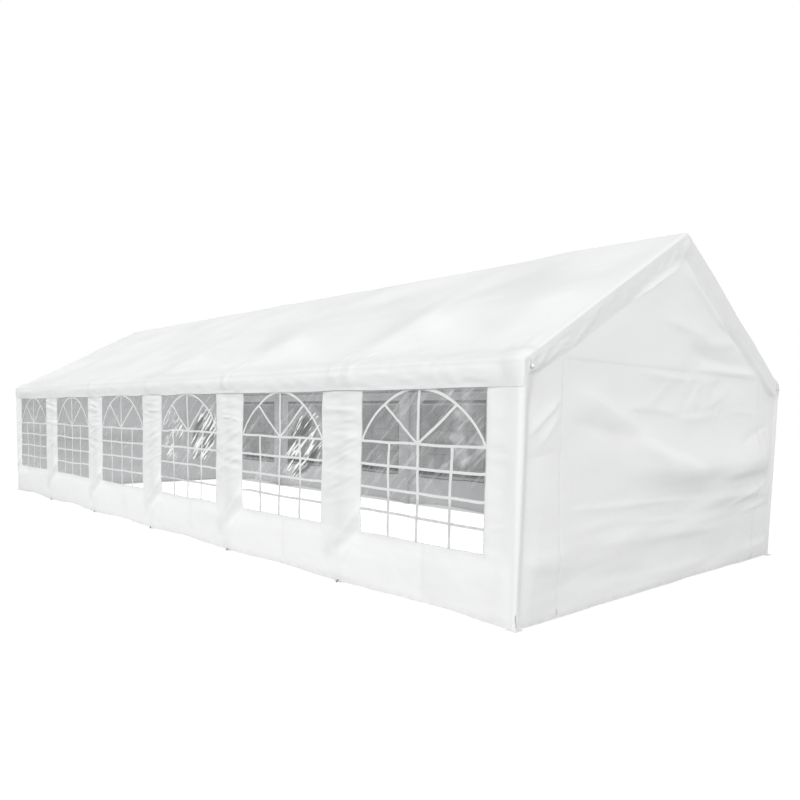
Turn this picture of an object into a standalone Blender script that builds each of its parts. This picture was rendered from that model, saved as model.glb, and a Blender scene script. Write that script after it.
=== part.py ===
"""Marquee tent: a steel tube frame of seven bents under a white roof cover, with window walls and zipped gables.

Units are metres, +Z is up. The tent runs along X and its gables face +X and -X.
The origin is on the ground, in the middle of the plan.
"""

import math

import bmesh
import bpy
from mathutils import Euler, Matrix, Vector

# Plan and heights, measured between the axes of the tubes
BAYS = 6
BAY = 2.0
SPAN = 5.0
EAVE_Z = 2.01
RIDGE_Z = 3.33

# Steel tubes and their connectors
TUBE_RADIUS = 0.019
SLEEVE_RADIUS = 0.0225
LEG_SLEEVE_RADIUS = 0.0235
HUB_RADIUS = 0.0255
TUBE_SIDES = 10
SLEEVE_LENGTH = 0.12
HUB_HALF_LENGTH = 0.065
LEG_SLEEVE_DROP = 0.10
BORE_CLEARANCE = 0.0004
SMOOTH_ANGLE = math.radians(40)

# Feet of the legs
FOOT_SIZE = 0.10
FOOT_THICKNESS = 0.004
COLLAR_HEIGHT = 0.06

# Cloth, drawn thicker than the real sheet so that it is a solid
CLOTH = 0.003
TOUCH_GAP = 0.0005
HEM_Z = 0.006

# Roof cover
EAVE_DROP = 0.19
GABLE_DROP = 0.22
ROOF_SAG = 0.035
VALANCE_SCALLOP = 0.012
FLAP_TAPER = 0.04
CELLS_PER_BAY = 4
CELLS_PER_SLOPE = 6

# Windows and zipped doors
WINDOW_WIDTH = 1.43
SILL_Z = 0.523
WINDOW_TOP_Z = 1.87
DOOR_WIDTH = 3.96
DOOR_TOP_Z = 2.08
FIT_GAP = 0.0004

# Values that follow from the sizes above
HALF_LENGTH = BAYS * BAY / 2
HALF_SPAN = SPAN / 2
SLOPE = (RIDGE_Z - EAVE_Z) / HALF_SPAN
PITCH = math.atan(SLOPE)
SLOPE_LENGTH = HALF_SPAN / math.cos(PITCH)
WALL_INSET = HUB_RADIUS + TOUCH_GAP
VALANCE_INSET = WALL_INSET + CLOTH + TOUCH_GAP
COVER_X = HALF_LENGTH + VALANCE_INSET
COVER_Y = HALF_SPAN + VALANCE_INSET
BENT_XS = [-HALF_LENGTH + BAY * i for i in range(BAYS + 1)]
BAY_CENTRES = [-HALF_LENGTH + BAY * (i + 0.5) for i in range(BAYS)]
PURLIN_AXES = {
    "eave_purlin_front": (-HALF_SPAN, EAVE_Z),
    "mid_purlin_front": (-HALF_SPAN / 2, (EAVE_Z + RIDGE_Z) / 2),
    "ridge_purlin": (0.0, RIDGE_Z),
    "mid_purlin_back": (HALF_SPAN / 2, (EAVE_Z + RIDGE_Z) / 2),
    "eave_purlin_back": (HALF_SPAN, EAVE_Z),
}
SIDES = {"front": -1, "back": 1}
ENDS = {"left": -1, "right": 1}


def remove_startup_objects():
    """Empty the scene, so that only the tent is in it."""
    for obj in list(bpy.data.objects):
        bpy.data.objects.remove(obj)


def new_collection(name):
    """A collection linked to the scene."""
    made = bpy.data.collections.new(name)
    bpy.context.scene.collection.children.link(made)
    return made


def new_material(name, colour, roughness, metallic=0.0, alpha=1.0):
    """A plain Principled BSDF."""
    made = bpy.data.materials.new(name)
    made.use_nodes = True
    shader = made.node_tree.nodes["Principled BSDF"]
    shader.inputs["Base Color"].default_value = (*colour, 1.0)
    shader.inputs["Roughness"].default_value = roughness
    shader.inputs["Metallic"].default_value = metallic
    shader.inputs["Alpha"].default_value = alpha
    made.diffuse_color = (*colour, alpha)
    return made


remove_startup_objects()
TENT = new_collection("marquee_tent")
CUTTERS = new_collection("cutters")
WHITE_SHEET = new_material("white_sheet", (0.90, 0.90, 0.90), 0.45)
CLEAR_FILM = new_material("clear_film", (0.80, 0.82, 0.82), 0.10, alpha=0.35)
WHITE_STEEL = new_material("white_steel", (0.78, 0.79, 0.80), 0.35, metallic=0.2)


def place(name, mesh, material, location=(0, 0, 0), turn_z=0.0):
    """A piece of the tent, shaded smooth except at its sharp edges."""
    if not mesh.materials:
        mesh.materials.append(material)
        mesh.shade_smooth()
        mesh.set_sharp_from_angle(angle=SMOOTH_ANGLE)
    piece = bpy.data.objects.new(name, mesh)
    piece.location = location
    piece.rotation_euler = Euler((0, 0, turn_z))
    TENT.objects.link(piece)
    return piece


def place_cutter(mesh):
    """A helper that Booleans read: left out of the render and drawn as wire."""
    cutter = bpy.data.objects.new(mesh.name, mesh)
    cutter.hide_render = True
    cutter.display_type = "WIRE"
    CUTTERS.objects.link(cutter)
    return cutter


def mesh_from(bm, name):
    """The finished mesh of a bmesh, which is freed."""
    mesh = bpy.data.meshes.new(name)
    bm.to_mesh(mesh)
    bm.free()
    return mesh


def tube_mesh(name, start, end, radius):
    """A closed round bar between two points."""
    axis = Vector(end) - Vector(start)
    middle = (Vector(end) + Vector(start)) / 2
    turn = axis.to_track_quat("Z", "Y").to_matrix().to_4x4()
    bm = bmesh.new()
    bmesh.ops.create_cone(
        bm,
        cap_ends=True,
        segments=TUBE_SIDES,
        radius1=radius,
        radius2=radius,
        depth=axis.length,
        matrix=Matrix.Translation(middle) @ turn,
    )
    return mesh_from(bm, name)


def box_mesh(name, low, high):
    """A closed box between two corners."""
    low, high = Vector(low), Vector(high)
    middle = Matrix.Translation((low + high) / 2)
    size = Matrix.Diagonal((*(high - low), 1.0))
    bm = bmesh.new()
    bmesh.ops.create_cube(bm, size=1.0, matrix=middle @ size)
    return mesh_from(bm, name)


def fused_mesh(name, added, removed=()):
    """One closed mesh: the union of some meshes, less some others."""
    base, *joined = [place_cutter(mesh) for mesh in added]
    cuts = [place_cutter(mesh) for mesh in removed]
    steps = [("UNION", helper) for helper in joined] + [("DIFFERENCE", helper) for helper in cuts]
    for operation, helper in steps:
        modifier = base.modifiers.new(operation.lower(), "BOOLEAN")
        modifier.operation = operation
        modifier.object = helper
    bpy.context.view_layer.update()
    graph = bpy.context.evaluated_depsgraph_get()
    mesh = bpy.data.meshes.new_from_object(base.evaluated_get(graph))
    mesh.name = name
    mesh.materials.clear()
    for helper in [base, *joined, *cuts]:
        bpy.data.objects.remove(helper)
    return mesh


def build_legs():
    """Fourteen legs, each a tube in a collar on a square foot plate."""
    half = FOOT_SIZE / 2
    leg_top = EAVE_Z - LEG_SLEEVE_DROP - TOUCH_GAP
    mesh = fused_mesh("leg", [
        tube_mesh("pole", (0, 0, FOOT_THICKNESS / 2), (0, 0, leg_top), TUBE_RADIUS),
        tube_mesh("collar", (0, 0, FOOT_THICKNESS / 4), (0, 0, COLLAR_HEIGHT), SLEEVE_RADIUS),
        box_mesh("plate", (-half, -half, 0), (half, half, FOOT_THICKNESS)),
    ])
    for side_name, side in SIDES.items():
        for number, x in enumerate(BENT_XS, start=1):
            place(f"leg_{side_name}_{number}", mesh, WHITE_STEEL, (x, side * HALF_SPAN, 0))


def rafter_point(side, distance):
    """A point on a rafter's axis, at a distance up the slope from the eave."""
    y = side * (HALF_SPAN - distance * math.cos(PITCH))
    return (0.0, y, EAVE_Z + distance * math.sin(PITCH))


def rafter_meshes(side):
    """One rafter: its tube, the sleeves that hold it at eave, middle and ridge, and the sleeve over the leg."""
    middle = SLOPE_LENGTH / 2
    eave = rafter_point(side, 0.0)
    leg_sleeve_end = (0.0, eave[1], EAVE_Z - LEG_SLEEVE_DROP)
    stretches = (
        (SLEEVE_LENGTH / 2, SLOPE_LENGTH - SLEEVE_LENGTH / 2, TUBE_RADIUS),
        (0.0, SLEEVE_LENGTH, SLEEVE_RADIUS),
        (middle - SLEEVE_LENGTH, middle + SLEEVE_LENGTH, SLEEVE_RADIUS),
        (SLOPE_LENGTH - SLEEVE_LENGTH, SLOPE_LENGTH, SLEEVE_RADIUS),
    )
    meshes = [tube_mesh("rafter", rafter_point(side, low), rafter_point(side, high), radius)
              for low, high, radius in stretches]
    return meshes + [tube_mesh("leg_sleeve", eave, leg_sleeve_end, LEG_SLEEVE_RADIUS)]


def bent_mesh(name, hub_reach):
    """Two rafters and their five connectors, which reach hub_reach past the rafters' axes along +X."""
    added = rafter_meshes(SIDES["front"]) + rafter_meshes(SIDES["back"])
    bores = []
    bore_radius = TUBE_RADIUS + BORE_CLEARANCE
    bore_half_length = 2 * HUB_HALF_LENGTH
    for y, z in PURLIN_AXES.values():
        added.append(tube_mesh("hub", (-HUB_HALF_LENGTH, y, z), (hub_reach, y, z), HUB_RADIUS))
        bores.append(tube_mesh("bore", (-bore_half_length, y, z), (bore_half_length, y, z), bore_radius))
    return fused_mesh(name, added, bores)


def build_bents():
    """Seven pairs of rafters. The connectors of the two end pairs stay inside the gable walls."""
    inner_mesh = bent_mesh("inner_bent", HUB_HALF_LENGTH)
    end_mesh = bent_mesh("end_bent", HUB_RADIUS)
    last = len(BENT_XS)
    for number, x in enumerate(BENT_XS, start=1):
        mesh = end_mesh if number in (1, last) else inner_mesh
        turn_z = math.pi if number == 1 else 0.0
        place(f"rafter_frame_{number}", mesh, WHITE_STEEL, (x, 0, 0), turn_z)


def build_purlins():
    """Five long tube lines, each one run of tubes that meet inside the connectors."""
    reach = HALF_LENGTH + HUB_RADIUS - TOUCH_GAP
    for name, (y, z) in PURLIN_AXES.items():
        place(name, tube_mesh(name, (-reach, y, z), (reach, y, z), TUBE_RADIUS), WHITE_STEEL)


def cover_z(y):
    """Height of the inner face of a taut roof cover over a place across the tent."""
    return EAVE_Z + WALL_INSET / math.cos(PITCH) + (HALF_SPAN - abs(y)) * SLOPE


def bay_wave(x):
    """0 over a bent and 1 in the middle of a bay."""
    return math.sin(math.pi * (x + HALF_LENGTH) / BAY) ** 2


def cover_sag(x, y):
    """How far the cover hangs below taut: nothing over the tubes, most in the middle of each panel."""
    between_purlins = math.sin(2 * math.pi * min(abs(y) / HALF_SPAN, 1)) ** 2
    inside_x = max(-HALF_LENGTH, min(x, HALF_LENGTH))
    return ROOF_SAG * bay_wave(inside_x) * between_purlins


def cover_point(along, across):
    """The inner face of the cover.

    along is -1 and 1 at the gables. across is 0 at the ridge, 1 at the eave and 2 at the lower edge of the
    eave valance, and negative on the front. The valance narrows downwards, which opens a slit at each corner.
    """
    x = along * COVER_X
    side = -1 if across < 0 else 1
    y = min(abs(across), 1) * COVER_Y
    down = max(abs(across) - 1, 0)
    drop = down * (EAVE_DROP + VALANCE_SCALLOP * bay_wave(x))
    return Vector((x * (1 - down * FLAP_TAPER / COVER_X), side * y, cover_z(y) - cover_sag(x, y) - drop))


def is_rake_edge(edge):
    """Whether an edge of the open cover lies along the sloping end of a roof slope."""
    lowest = cover_z(COVER_Y) - TOUCH_GAP
    return all(abs(v.co.x) > COVER_X - TOUCH_GAP and v.co.z > lowest for v in edge.verts)


def build_roof_cover():
    """One folded sheet: both slopes, the eave valances, and a valance down each gable rake."""
    rows = 2 * (CELLS_PER_SLOPE + 1)
    bm = bmesh.new()
    bmesh.ops.create_grid(bm, x_segments=BAYS * CELLS_PER_BAY, y_segments=rows, size=1.0)
    for vertex in bm.verts:
        row = round(vertex.co.y * rows / 2)
        steps = min(abs(row), CELLS_PER_SLOPE) / CELLS_PER_SLOPE + max(abs(row) - CELLS_PER_SLOPE, 0)
        vertex.co = cover_point(vertex.co.x, math.copysign(steps, row))
    rake_edges = [edge for edge in bm.edges if is_rake_edge(edge)]
    flaps = bmesh.ops.extrude_edge_only(bm, edges=rake_edges)
    for vertex in flaps["geom"]:
        if isinstance(vertex, bmesh.types.BMVert):
            at_corner = abs(vertex.co.y) > COVER_Y - TOUCH_GAP
            vertex.co.y *= 1 - FLAP_TAPER / COVER_Y if at_corner else 1
            vertex.co.z -= GABLE_DROP
    bmesh.ops.recalc_face_normals(bm, faces=bm.faces)
    highest = max(bm.faces, key=lambda face: face.calc_center_median().z)
    if highest.normal.z < 0:
        bmesh.ops.reverse_faces(bm, faces=bm.faces)
    cover = place("roof_cover", mesh_from(bm, "roof_cover"), WHITE_SHEET)
    thicken = cover.modifiers.new("cloth", "SOLIDIFY")
    thicken.thickness = CLOTH
    thicken.offset = 1.0
    thicken.use_even_offset = True


def build_window_walls():
    """Two long walls, each one sheet with six windows cut through it and a clear film in each window."""
    reach = HALF_LENGTH + WALL_INSET + CLOTH
    half_window = WINDOW_WIDTH / 2
    for side_name, side in SIDES.items():
        near = side * (HALF_SPAN + WALL_INSET)
        low_y, high_y = sorted((near, near + side * CLOTH))
        sheet = box_mesh("sheet", (-reach, low_y, HEM_Z), (reach, high_y, EAVE_Z))
        holes = [box_mesh("hole", (x - half_window, low_y - CLOTH, SILL_Z),
                          (x + half_window, high_y + CLOTH, WINDOW_TOP_Z)) for x in BAY_CENTRES]
        place(f"{side_name}_wall", fused_mesh(f"{side_name}_wall", [sheet], holes), WHITE_SHEET)
        for number, x in enumerate(BAY_CENTRES, start=1):
            name = f"window_{side_name}_{number}"
            film_low = (x - half_window + FIT_GAP, low_y, SILL_Z + FIT_GAP)
            film_high = (x + half_window - FIT_GAP, high_y, WINDOW_TOP_Z - FIT_GAP)
            place(name, box_mesh(name, film_low, film_high), CLEAR_FILM)


def gable_outline():
    """The gable wall around its door, as points (y, z): up one side strip, over the top and down the other."""
    edge = HALF_SPAN + WALL_INSET - TOUCH_GAP
    under_cover = 4 * TOUCH_GAP
    half_door = DOOR_WIDTH / 2
    return [
        (-half_door, DOOR_TOP_Z),
        (-half_door, HEM_Z),
        (-edge, HEM_Z),
        (-edge, cover_z(edge) - under_cover),
        (0, cover_z(0) - under_cover),
        (edge, cover_z(edge) - under_cover),
        (edge, HEM_Z),
        (half_door, HEM_Z),
        (half_door, DOOR_TOP_Z),
    ]


def build_gables():
    """Two gable walls, each a sheet around a zipped door panel."""
    half_door = DOOR_WIDTH / 2
    for end_name, end in ENDS.items():
        x = end * (HALF_LENGTH + WALL_INSET + CLOTH / 2)
        bm = bmesh.new()
        bm.faces.new([bm.verts.new((x, y, z)) for y, z in gable_outline()])
        wall = place(f"gable_wall_{end_name}", mesh_from(bm, "gable_wall"), WHITE_SHEET)
        thicken = wall.modifiers.new("cloth", "SOLIDIFY")
        thicken.thickness = CLOTH
        thicken.offset = 0.0
        door_low = (x - CLOTH / 2, -half_door + FIT_GAP, HEM_Z)
        door_high = (x + CLOTH / 2, half_door - FIT_GAP, DOOR_TOP_Z - FIT_GAP)
        place(f"gable_door_{end_name}", box_mesh("gable_door", door_low, door_high), WHITE_SHEET)


build_legs()
build_bents()
build_purlins()
build_roof_cover()
build_window_walls()
build_gables()
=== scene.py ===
"""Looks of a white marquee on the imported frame: sheets, window film, tubes, zips, fittings and studio.

Everything is in metres in the row's own frame: X along the ridge, Y across the tent, Z up, the origin on the
ground in the middle of the plan. The near gable faces +X and the front window wall faces -Y.
"""

import logging
import math
from collections.abc import Callable, Sequence
from dataclasses import dataclass, field
from enum import Enum

import bpy
import numpy as np
from bpy.types import Material, Node, NodeSocket, Object, World
from mathutils import Matrix, Vector


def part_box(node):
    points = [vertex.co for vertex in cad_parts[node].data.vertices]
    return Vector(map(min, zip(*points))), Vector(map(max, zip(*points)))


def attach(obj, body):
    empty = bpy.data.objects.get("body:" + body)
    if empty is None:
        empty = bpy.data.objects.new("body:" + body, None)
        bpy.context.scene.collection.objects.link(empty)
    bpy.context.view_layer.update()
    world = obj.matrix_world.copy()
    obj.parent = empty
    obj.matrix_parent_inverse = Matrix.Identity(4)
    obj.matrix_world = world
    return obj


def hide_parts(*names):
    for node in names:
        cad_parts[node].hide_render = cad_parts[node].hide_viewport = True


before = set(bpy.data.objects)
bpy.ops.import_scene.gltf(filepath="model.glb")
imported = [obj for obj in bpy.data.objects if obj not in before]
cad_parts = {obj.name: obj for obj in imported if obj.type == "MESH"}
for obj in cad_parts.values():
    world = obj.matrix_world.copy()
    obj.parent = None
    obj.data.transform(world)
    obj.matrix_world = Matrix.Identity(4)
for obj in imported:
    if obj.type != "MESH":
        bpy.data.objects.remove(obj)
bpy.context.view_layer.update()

LOG = logging.getLogger("marquee")
ROOT = "root"
SHEET_SLOT = "white_sheet"
FILM_SLOT = "clear_film"
TONE = "tone"
QUARTER = math.pi / 2
LAP = 0.0012  # Clear distance of a sheet from the gable that it laps over.
LATTICE = 96  # Random heights along each side of a swelling's lattice, which then repeats.
Array = np.ndarray
Place = tuple[float, float]


class Side(Enum):
    """The two long sides, with the sign of their Y."""

    FRONT = -1
    BACK = 1


class End(Enum):
    """The two gables, with the sign of their X."""

    LEFT = -1
    RIGHT = 1


def label(choice: Enum) -> str:
    """The word that a side or an end has in node names."""
    return choice.name.lower()


def smooth(values: Array, width: float | Array = 1.0) -> Array:
    """Values over a width, clipped to 0..1, then eased at both ends: 3 t squared less 2 t cubed."""
    clipped = np.clip(values / width, 0.0, 1.0)
    return clipped * clipped * (3.0 - 2.0 * clipped)


def bell(distance: Array, width: float | Array, power: int = 2) -> Array:
    """1 where the distance is 0, and less away from it: e to the minus (distance / width) ** power."""
    return np.exp(-(distance / width) ** power)


def steps(*stops: float, cell: float) -> Array:
    """Values that rise through the stops, evenly between each two and no further apart than about one cell.

    Args:
        stops: values that must be in the result, lowest first.
        cell: largest distance between neighbours, in metres.

    Returns:
        The values, lowest first.
    """
    runs = [np.linspace(low, high, max(1, math.ceil((high - low) / cell)) + 1)[1:]
            for low, high in zip(stops, stops[1:])]
    return np.concatenate([np.array([stops[0]]), *runs])


@dataclass(frozen=True)
class TentSizes:
    """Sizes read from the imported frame, from which every sheet and tube is worked out."""

    bent_xs: tuple[float, ...]
    half_span: float
    eave_z: float
    ridge_z: float
    tube_radius: float
    window_xs: tuple[float, ...]
    window_half_width: float
    sill_z: float
    window_top_z: float
    door_half_width: float
    door_top_z: float
    hem_z: float

    @classmethod
    def from_frame(cls) -> "TentSizes":
        """Measure the tent on the CAD nodes' boxes.

        Returns:
            The tent's sizes in metres.
        """
        legs = [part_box(name) for name in sorted(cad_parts) if name.startswith("leg_front")]
        windows = [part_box(name) for name in sorted(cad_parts) if name.startswith("window_front")]
        ridge_low, ridge_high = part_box("ridge_purlin")
        eave_low, eave_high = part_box("eave_purlin_back")
        door_low, door_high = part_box("gable_door_right")
        return cls(
            bent_xs=tuple(round((low.x + high.x) / 2, 3) for low, high in legs),
            half_span=round((eave_low.y + eave_high.y) / 2, 4),
            eave_z=(eave_low.z + eave_high.z) / 2,
            ridge_z=(ridge_low.z + ridge_high.z) / 2,
            tube_radius=(ridge_high.z - ridge_low.z) / 2,
            window_xs=tuple(round((low.x + high.x) / 2, 3) for low, high in windows),
            window_half_width=(windows[0][1].x - windows[0][0].x) / 2,
            sill_z=windows[0][0].z,
            window_top_z=windows[0][1].z,
            door_half_width=door_high.y,
            door_top_z=door_high.z,
            hem_z=door_low.z,
        )

    @property
    def half_length(self) -> float:
        """From the middle to the axis of an end bent."""
        return self.bent_xs[-1]

    @property
    def bay(self) -> float:
        """Distance between the axes of two bents."""
        return self.bent_xs[1] - self.bent_xs[0]

    @property
    def pitch(self) -> float:
        """Angle of the rafters above level."""
        return math.atan2(self.ridge_z - self.eave_z, self.half_span)

    @property
    def slope_length(self) -> float:
        """Length of a rafter between the eave's axis and the ridge's."""
        return math.hypot(self.half_span, self.ridge_z - self.eave_z)

    def rafter_z(self, y: Array) -> Array:
        """Height of the rafters' axes at a place across the tent."""
        return self.eave_z + (self.half_span - np.abs(y)) * math.tan(self.pitch)

    def from_bent(self, x: Array) -> Array:
        """Distance along the tent from the nearest bent, below 0 before it."""
        return (x + self.half_length + self.bay / 2) % self.bay - self.bay / 2


@dataclass(frozen=True)
class Billow:
    """Soft random swelling of a sheet: heights at the corners of cells, blended with a quintic curve."""

    seed: int
    cell: Place
    height: float
    turn: float = 0.0

    def at(self, u: Array, v: Array) -> Array:
        """Height of the swelling.

        Args:
            u: first coordinate on the sheet, in metres.
            v: second coordinate, of the same shape.

        Returns:
            Heights from -height to height, of the same shape.
        """
        cos, sin = math.cos(self.turn), math.sin(self.turn)
        a = (u * cos + v * sin) / self.cell[0]
        b = (v * cos - u * sin) / self.cell[1]
        column, row = np.floor(a).astype(int), np.floor(b).astype(int)
        s, t = a - column, b - row
        s = s ** 3 * (s * (6 * s - 15) + 10)
        t = t ** 3 * (t * (6 * t - 15) + 10)
        corners = np.random.default_rng(self.seed).uniform(-1, 1, (LATTICE, LATTICE))
        left, right = column % LATTICE, (column + 1) % LATTICE
        below, above = row % LATTICE, (row + 1) % LATTICE
        low = corners[below, left] * (1 - s) + corners[below, right] * s
        high = corners[above, left] * (1 - s) + corners[above, right] * s
        return self.height * (low * (1 - t) + high * t)


@dataclass(frozen=True)
class Fold:
    """A raised fold between two places on a sheet, or a sunk one where its height is negative.

    Its crest is bowed sideways by bow, and a lean above 0 makes the flank on its left, looking along it,
    steeper. Across the crest the height falls off as 1 / (1 + x squared) ** 1.5, x in widths. A crisp fold
    has e ** -|x| in its place, which comes to an edge at the crest.
    """

    start: Place
    end: Place
    height: float
    width: float
    lean: float = 0.0
    bow: float = 0.0
    crisp: bool = False

    def at(self, u: Array, v: Array) -> Array:
        """Height that the fold adds.

        Args:
            u: first coordinate on the sheet, in metres.
            v: second coordinate.

        Returns:
            Heights at the places.
        """
        du, dv = self.end[0] - self.start[0], self.end[1] - self.start[1]
        length = math.hypot(du, dv)
        along = ((u - self.start[0]) * du + (v - self.start[1]) * dv) / length ** 2
        across = ((v - self.start[1]) * du - (u - self.start[0]) * dv) / length
        across = across - self.bow * 4 * along * (1 - along)
        half = self.width * (1 - self.lean * np.sign(across))
        end_fade = self.width * 2 / length
        past_start = smooth(along + end_fade, 0.3 + end_fade)
        inside = past_start * smooth(1 + end_fade - along, 0.3 + end_fade)
        if self.crisp:
            return self.height * inside * np.exp(-np.abs(across / half))
        return self.height * inside / (1 + (across / half) ** 2) ** 1.5


def relief(parts: Sequence[Billow | Fold], u: Array, v: Array) -> Array:
    """The heights of several swellings and folds, added up."""
    total = np.zeros(np.broadcast(u, v).shape)
    for part in parts:
        total = total + part.at(u, v)
    return total


def billows(seed: int, u: Array, v: Array, *rows: tuple) -> Array:
    """Swellings added up, each a row of cell, height and turn, with seeds that follow on from the first."""
    return relief([Billow(seed + number, *row) for number, row in enumerate(rows)], u, v)


def quad_normals(points: Array, quads: Array) -> Array:
    """Normals of four-sided faces, twice as long as their areas: the cross products of their diagonals."""
    a, b, c, d = (points[quads[:, k]] for k in range(4))
    return np.cross(c - a, d - b)


@dataclass
class Shape:
    """Points and faces gathered from grids, for one mesh.

    A grid is an array of points, rows by columns, and each of its faces joins four neighbours.
    """

    points: list[Array] = field(default_factory=list)
    faces: list[Array] = field(default_factory=list)
    uvs: list[Array] = field(default_factory=list)
    tones: list[Array] = field(default_factory=list)
    caps: list[list[int]] = field(default_factory=list)
    count: int = 0

    def append(self, points: Array, faces: Array, uv: Array | None = None, tone: Array | None = None) -> None:
        """Keep some points and the faces on them.

        Args:
            points: n by 3.
            faces: m by 4, numbers of these points.
            uv: n by 2. None puts every point at 0.
            tone: n numbers. None puts every point at 0.
        """
        self.points.append(points)
        self.faces.append(faces + self.count)
        self.uvs.append(np.zeros((len(points), 2)) if uv is None else uv)
        self.tones.append(np.zeros(len(points)) if tone is None else tone)
        self.count += len(points)

    def add_grid(self, points: Array, uv: Array | None = None, keep: Array | None = None,
                 outward: Array | tuple | None = None, tone: Array | None = None) -> None:
        """Add the faces of one grid.

        Args:
            points: rows by columns by 3.
            uv: rows by columns by 2, in metres along the sheet. None puts every point at 0.
            keep: rows - 1 by columns - 1, true where the cell has a face. None keeps all.
            outward: a direction that most faces should look along. None leaves them as they run.
            tone: rows by columns, a number for the finish to read. None puts every point at 0.
        """
        rows, columns = points.shape[:2]
        index = np.arange(rows * columns).reshape(rows, columns)
        quads = np.stack([index[:-1, :-1], index[:-1, 1:], index[1:, 1:], index[1:, :-1]], axis=-1)
        quads = quads[keep] if keep is not None else quads.reshape(-1, 4)
        flat = points.reshape(-1, 3)
        if outward is not None and (quad_normals(flat, quads) @ np.asarray(outward, float)).sum() < 0:
            quads = quads[:, ::-1]
        used, packed = np.unique(quads, return_inverse=True)
        uv = None if uv is None else uv.reshape(-1, 2)[used]
        tone = None if tone is None else tone.reshape(-1)[used]
        self.append(flat[used], packed.reshape(-1, 4), uv, tone)

    def add_tube(self, path: Array, radius: float | Array, sides: int = 16,
                 aim: tuple = (0.13, 0.21, 0.97)) -> None:
        """Add a closed round bar: rings of points square to a path, and a cap at each end.

        Args:
            path: points along the middle, n by 3.
            radius: of the bar, one value or one for each point.
            sides: faces around it.
            aim: a direction that the path never runs along, from which the rings' own axes are worked out.
        """
        path = np.asarray(path, float)
        ahead = np.gradient(path, axis=0)
        ahead /= np.linalg.norm(ahead, axis=1, keepdims=True)
        across = np.cross(ahead, np.asarray(aim, float))
        across /= np.linalg.norm(across, axis=1, keepdims=True)
        up = np.cross(across, ahead)
        turn = np.linspace(0, 2 * math.pi, sides, endpoint=False)
        reach = np.broadcast_to(np.asarray(radius, float), (len(path),))[:, None, None]
        spokes = across[:, None] * np.cos(turn)[:, None] + up[:, None] * np.sin(turn)[:, None]
        rings = path[:, None] + reach * spokes
        index = np.arange(len(path) * sides).reshape(len(path), sides)
        after = np.roll(index, -1, axis=1)
        quads = np.stack([index[:-1], after[:-1], after[1:], index[1:]], axis=-1).reshape(-1, 4)
        flat = rings.reshape(-1, 3)
        middles = flat[quads].mean(1) - np.repeat(rings.mean(1)[:-1], sides, axis=0)
        caps = np.stack([index[0, ::-1], index[-1]])
        if (middles * quad_normals(flat, quads)).sum() < 0:
            quads, caps = quads[:, ::-1], caps[:, ::-1]
        self.caps += (caps + self.count).tolist()
        self.append(flat, quads)

    def add_blocks(self, low: Array, high: Array, half_size: Place) -> None:
        """Add small blocks that stand on a gable.

        Args:
            low: the middle of each block's inner face, n by 3.
            high: the middle of each block's outer face, n by 3.
            half_size: of every block in y and z.
        """
        square = np.array([[-1, -1], [1, -1], [1, 1], [-1, 1]])
        offsets = np.column_stack([np.zeros(4), square * half_size])
        corners = np.concatenate([low[:, None] + offsets, high[:, None] + offsets], axis=1)
        block = np.array([[0, 1, 5, 4], [1, 2, 6, 5], [2, 3, 7, 6], [3, 0, 4, 7], [4, 5, 6, 7], [3, 2, 1, 0]])
        quads = block[None] + 8 * np.arange(len(low))[:, None, None]
        if (high[:, 0] < low[:, 0]).any():
            quads = quads[..., ::-1]
        self.append(corners.reshape(-1, 3), quads.reshape(-1, 4))

    def build(self, name: str, flat: bool = False) -> Object:
        """Make the mesh object.

        Args:
            name: of the piece.
            flat: whether its faces are shaded flat.

        Returns:
            The object, at the origin and linked to the scene.
        """
        mesh = bpy.data.meshes.new(name)
        faces = np.concatenate(self.faces).tolist() + self.caps
        mesh.from_pydata(np.concatenate(self.points).tolist(), [], faces)
        layer = mesh.uv_layers.new(name="sheet")
        corners = np.empty(len(mesh.loops), dtype=np.int32)
        mesh.loops.foreach_get("vertex_index", corners)
        layer.data.foreach_set("uv", np.concatenate(self.uvs)[corners].astype(np.float32).ravel())
        tones = np.concatenate(self.tones).astype(np.float32)
        if tones.any():
            mesh.attributes.new(TONE, "FLOAT", "POINT").data.foreach_set("value", tones)
        if not flat:
            mesh.shade_smooth()
            mesh.set_sharp_from_angle(angle=math.radians(50))
        made = bpy.data.objects.new(name, mesh)
        bpy.context.scene.collection.objects.link(made)
        return made


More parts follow.
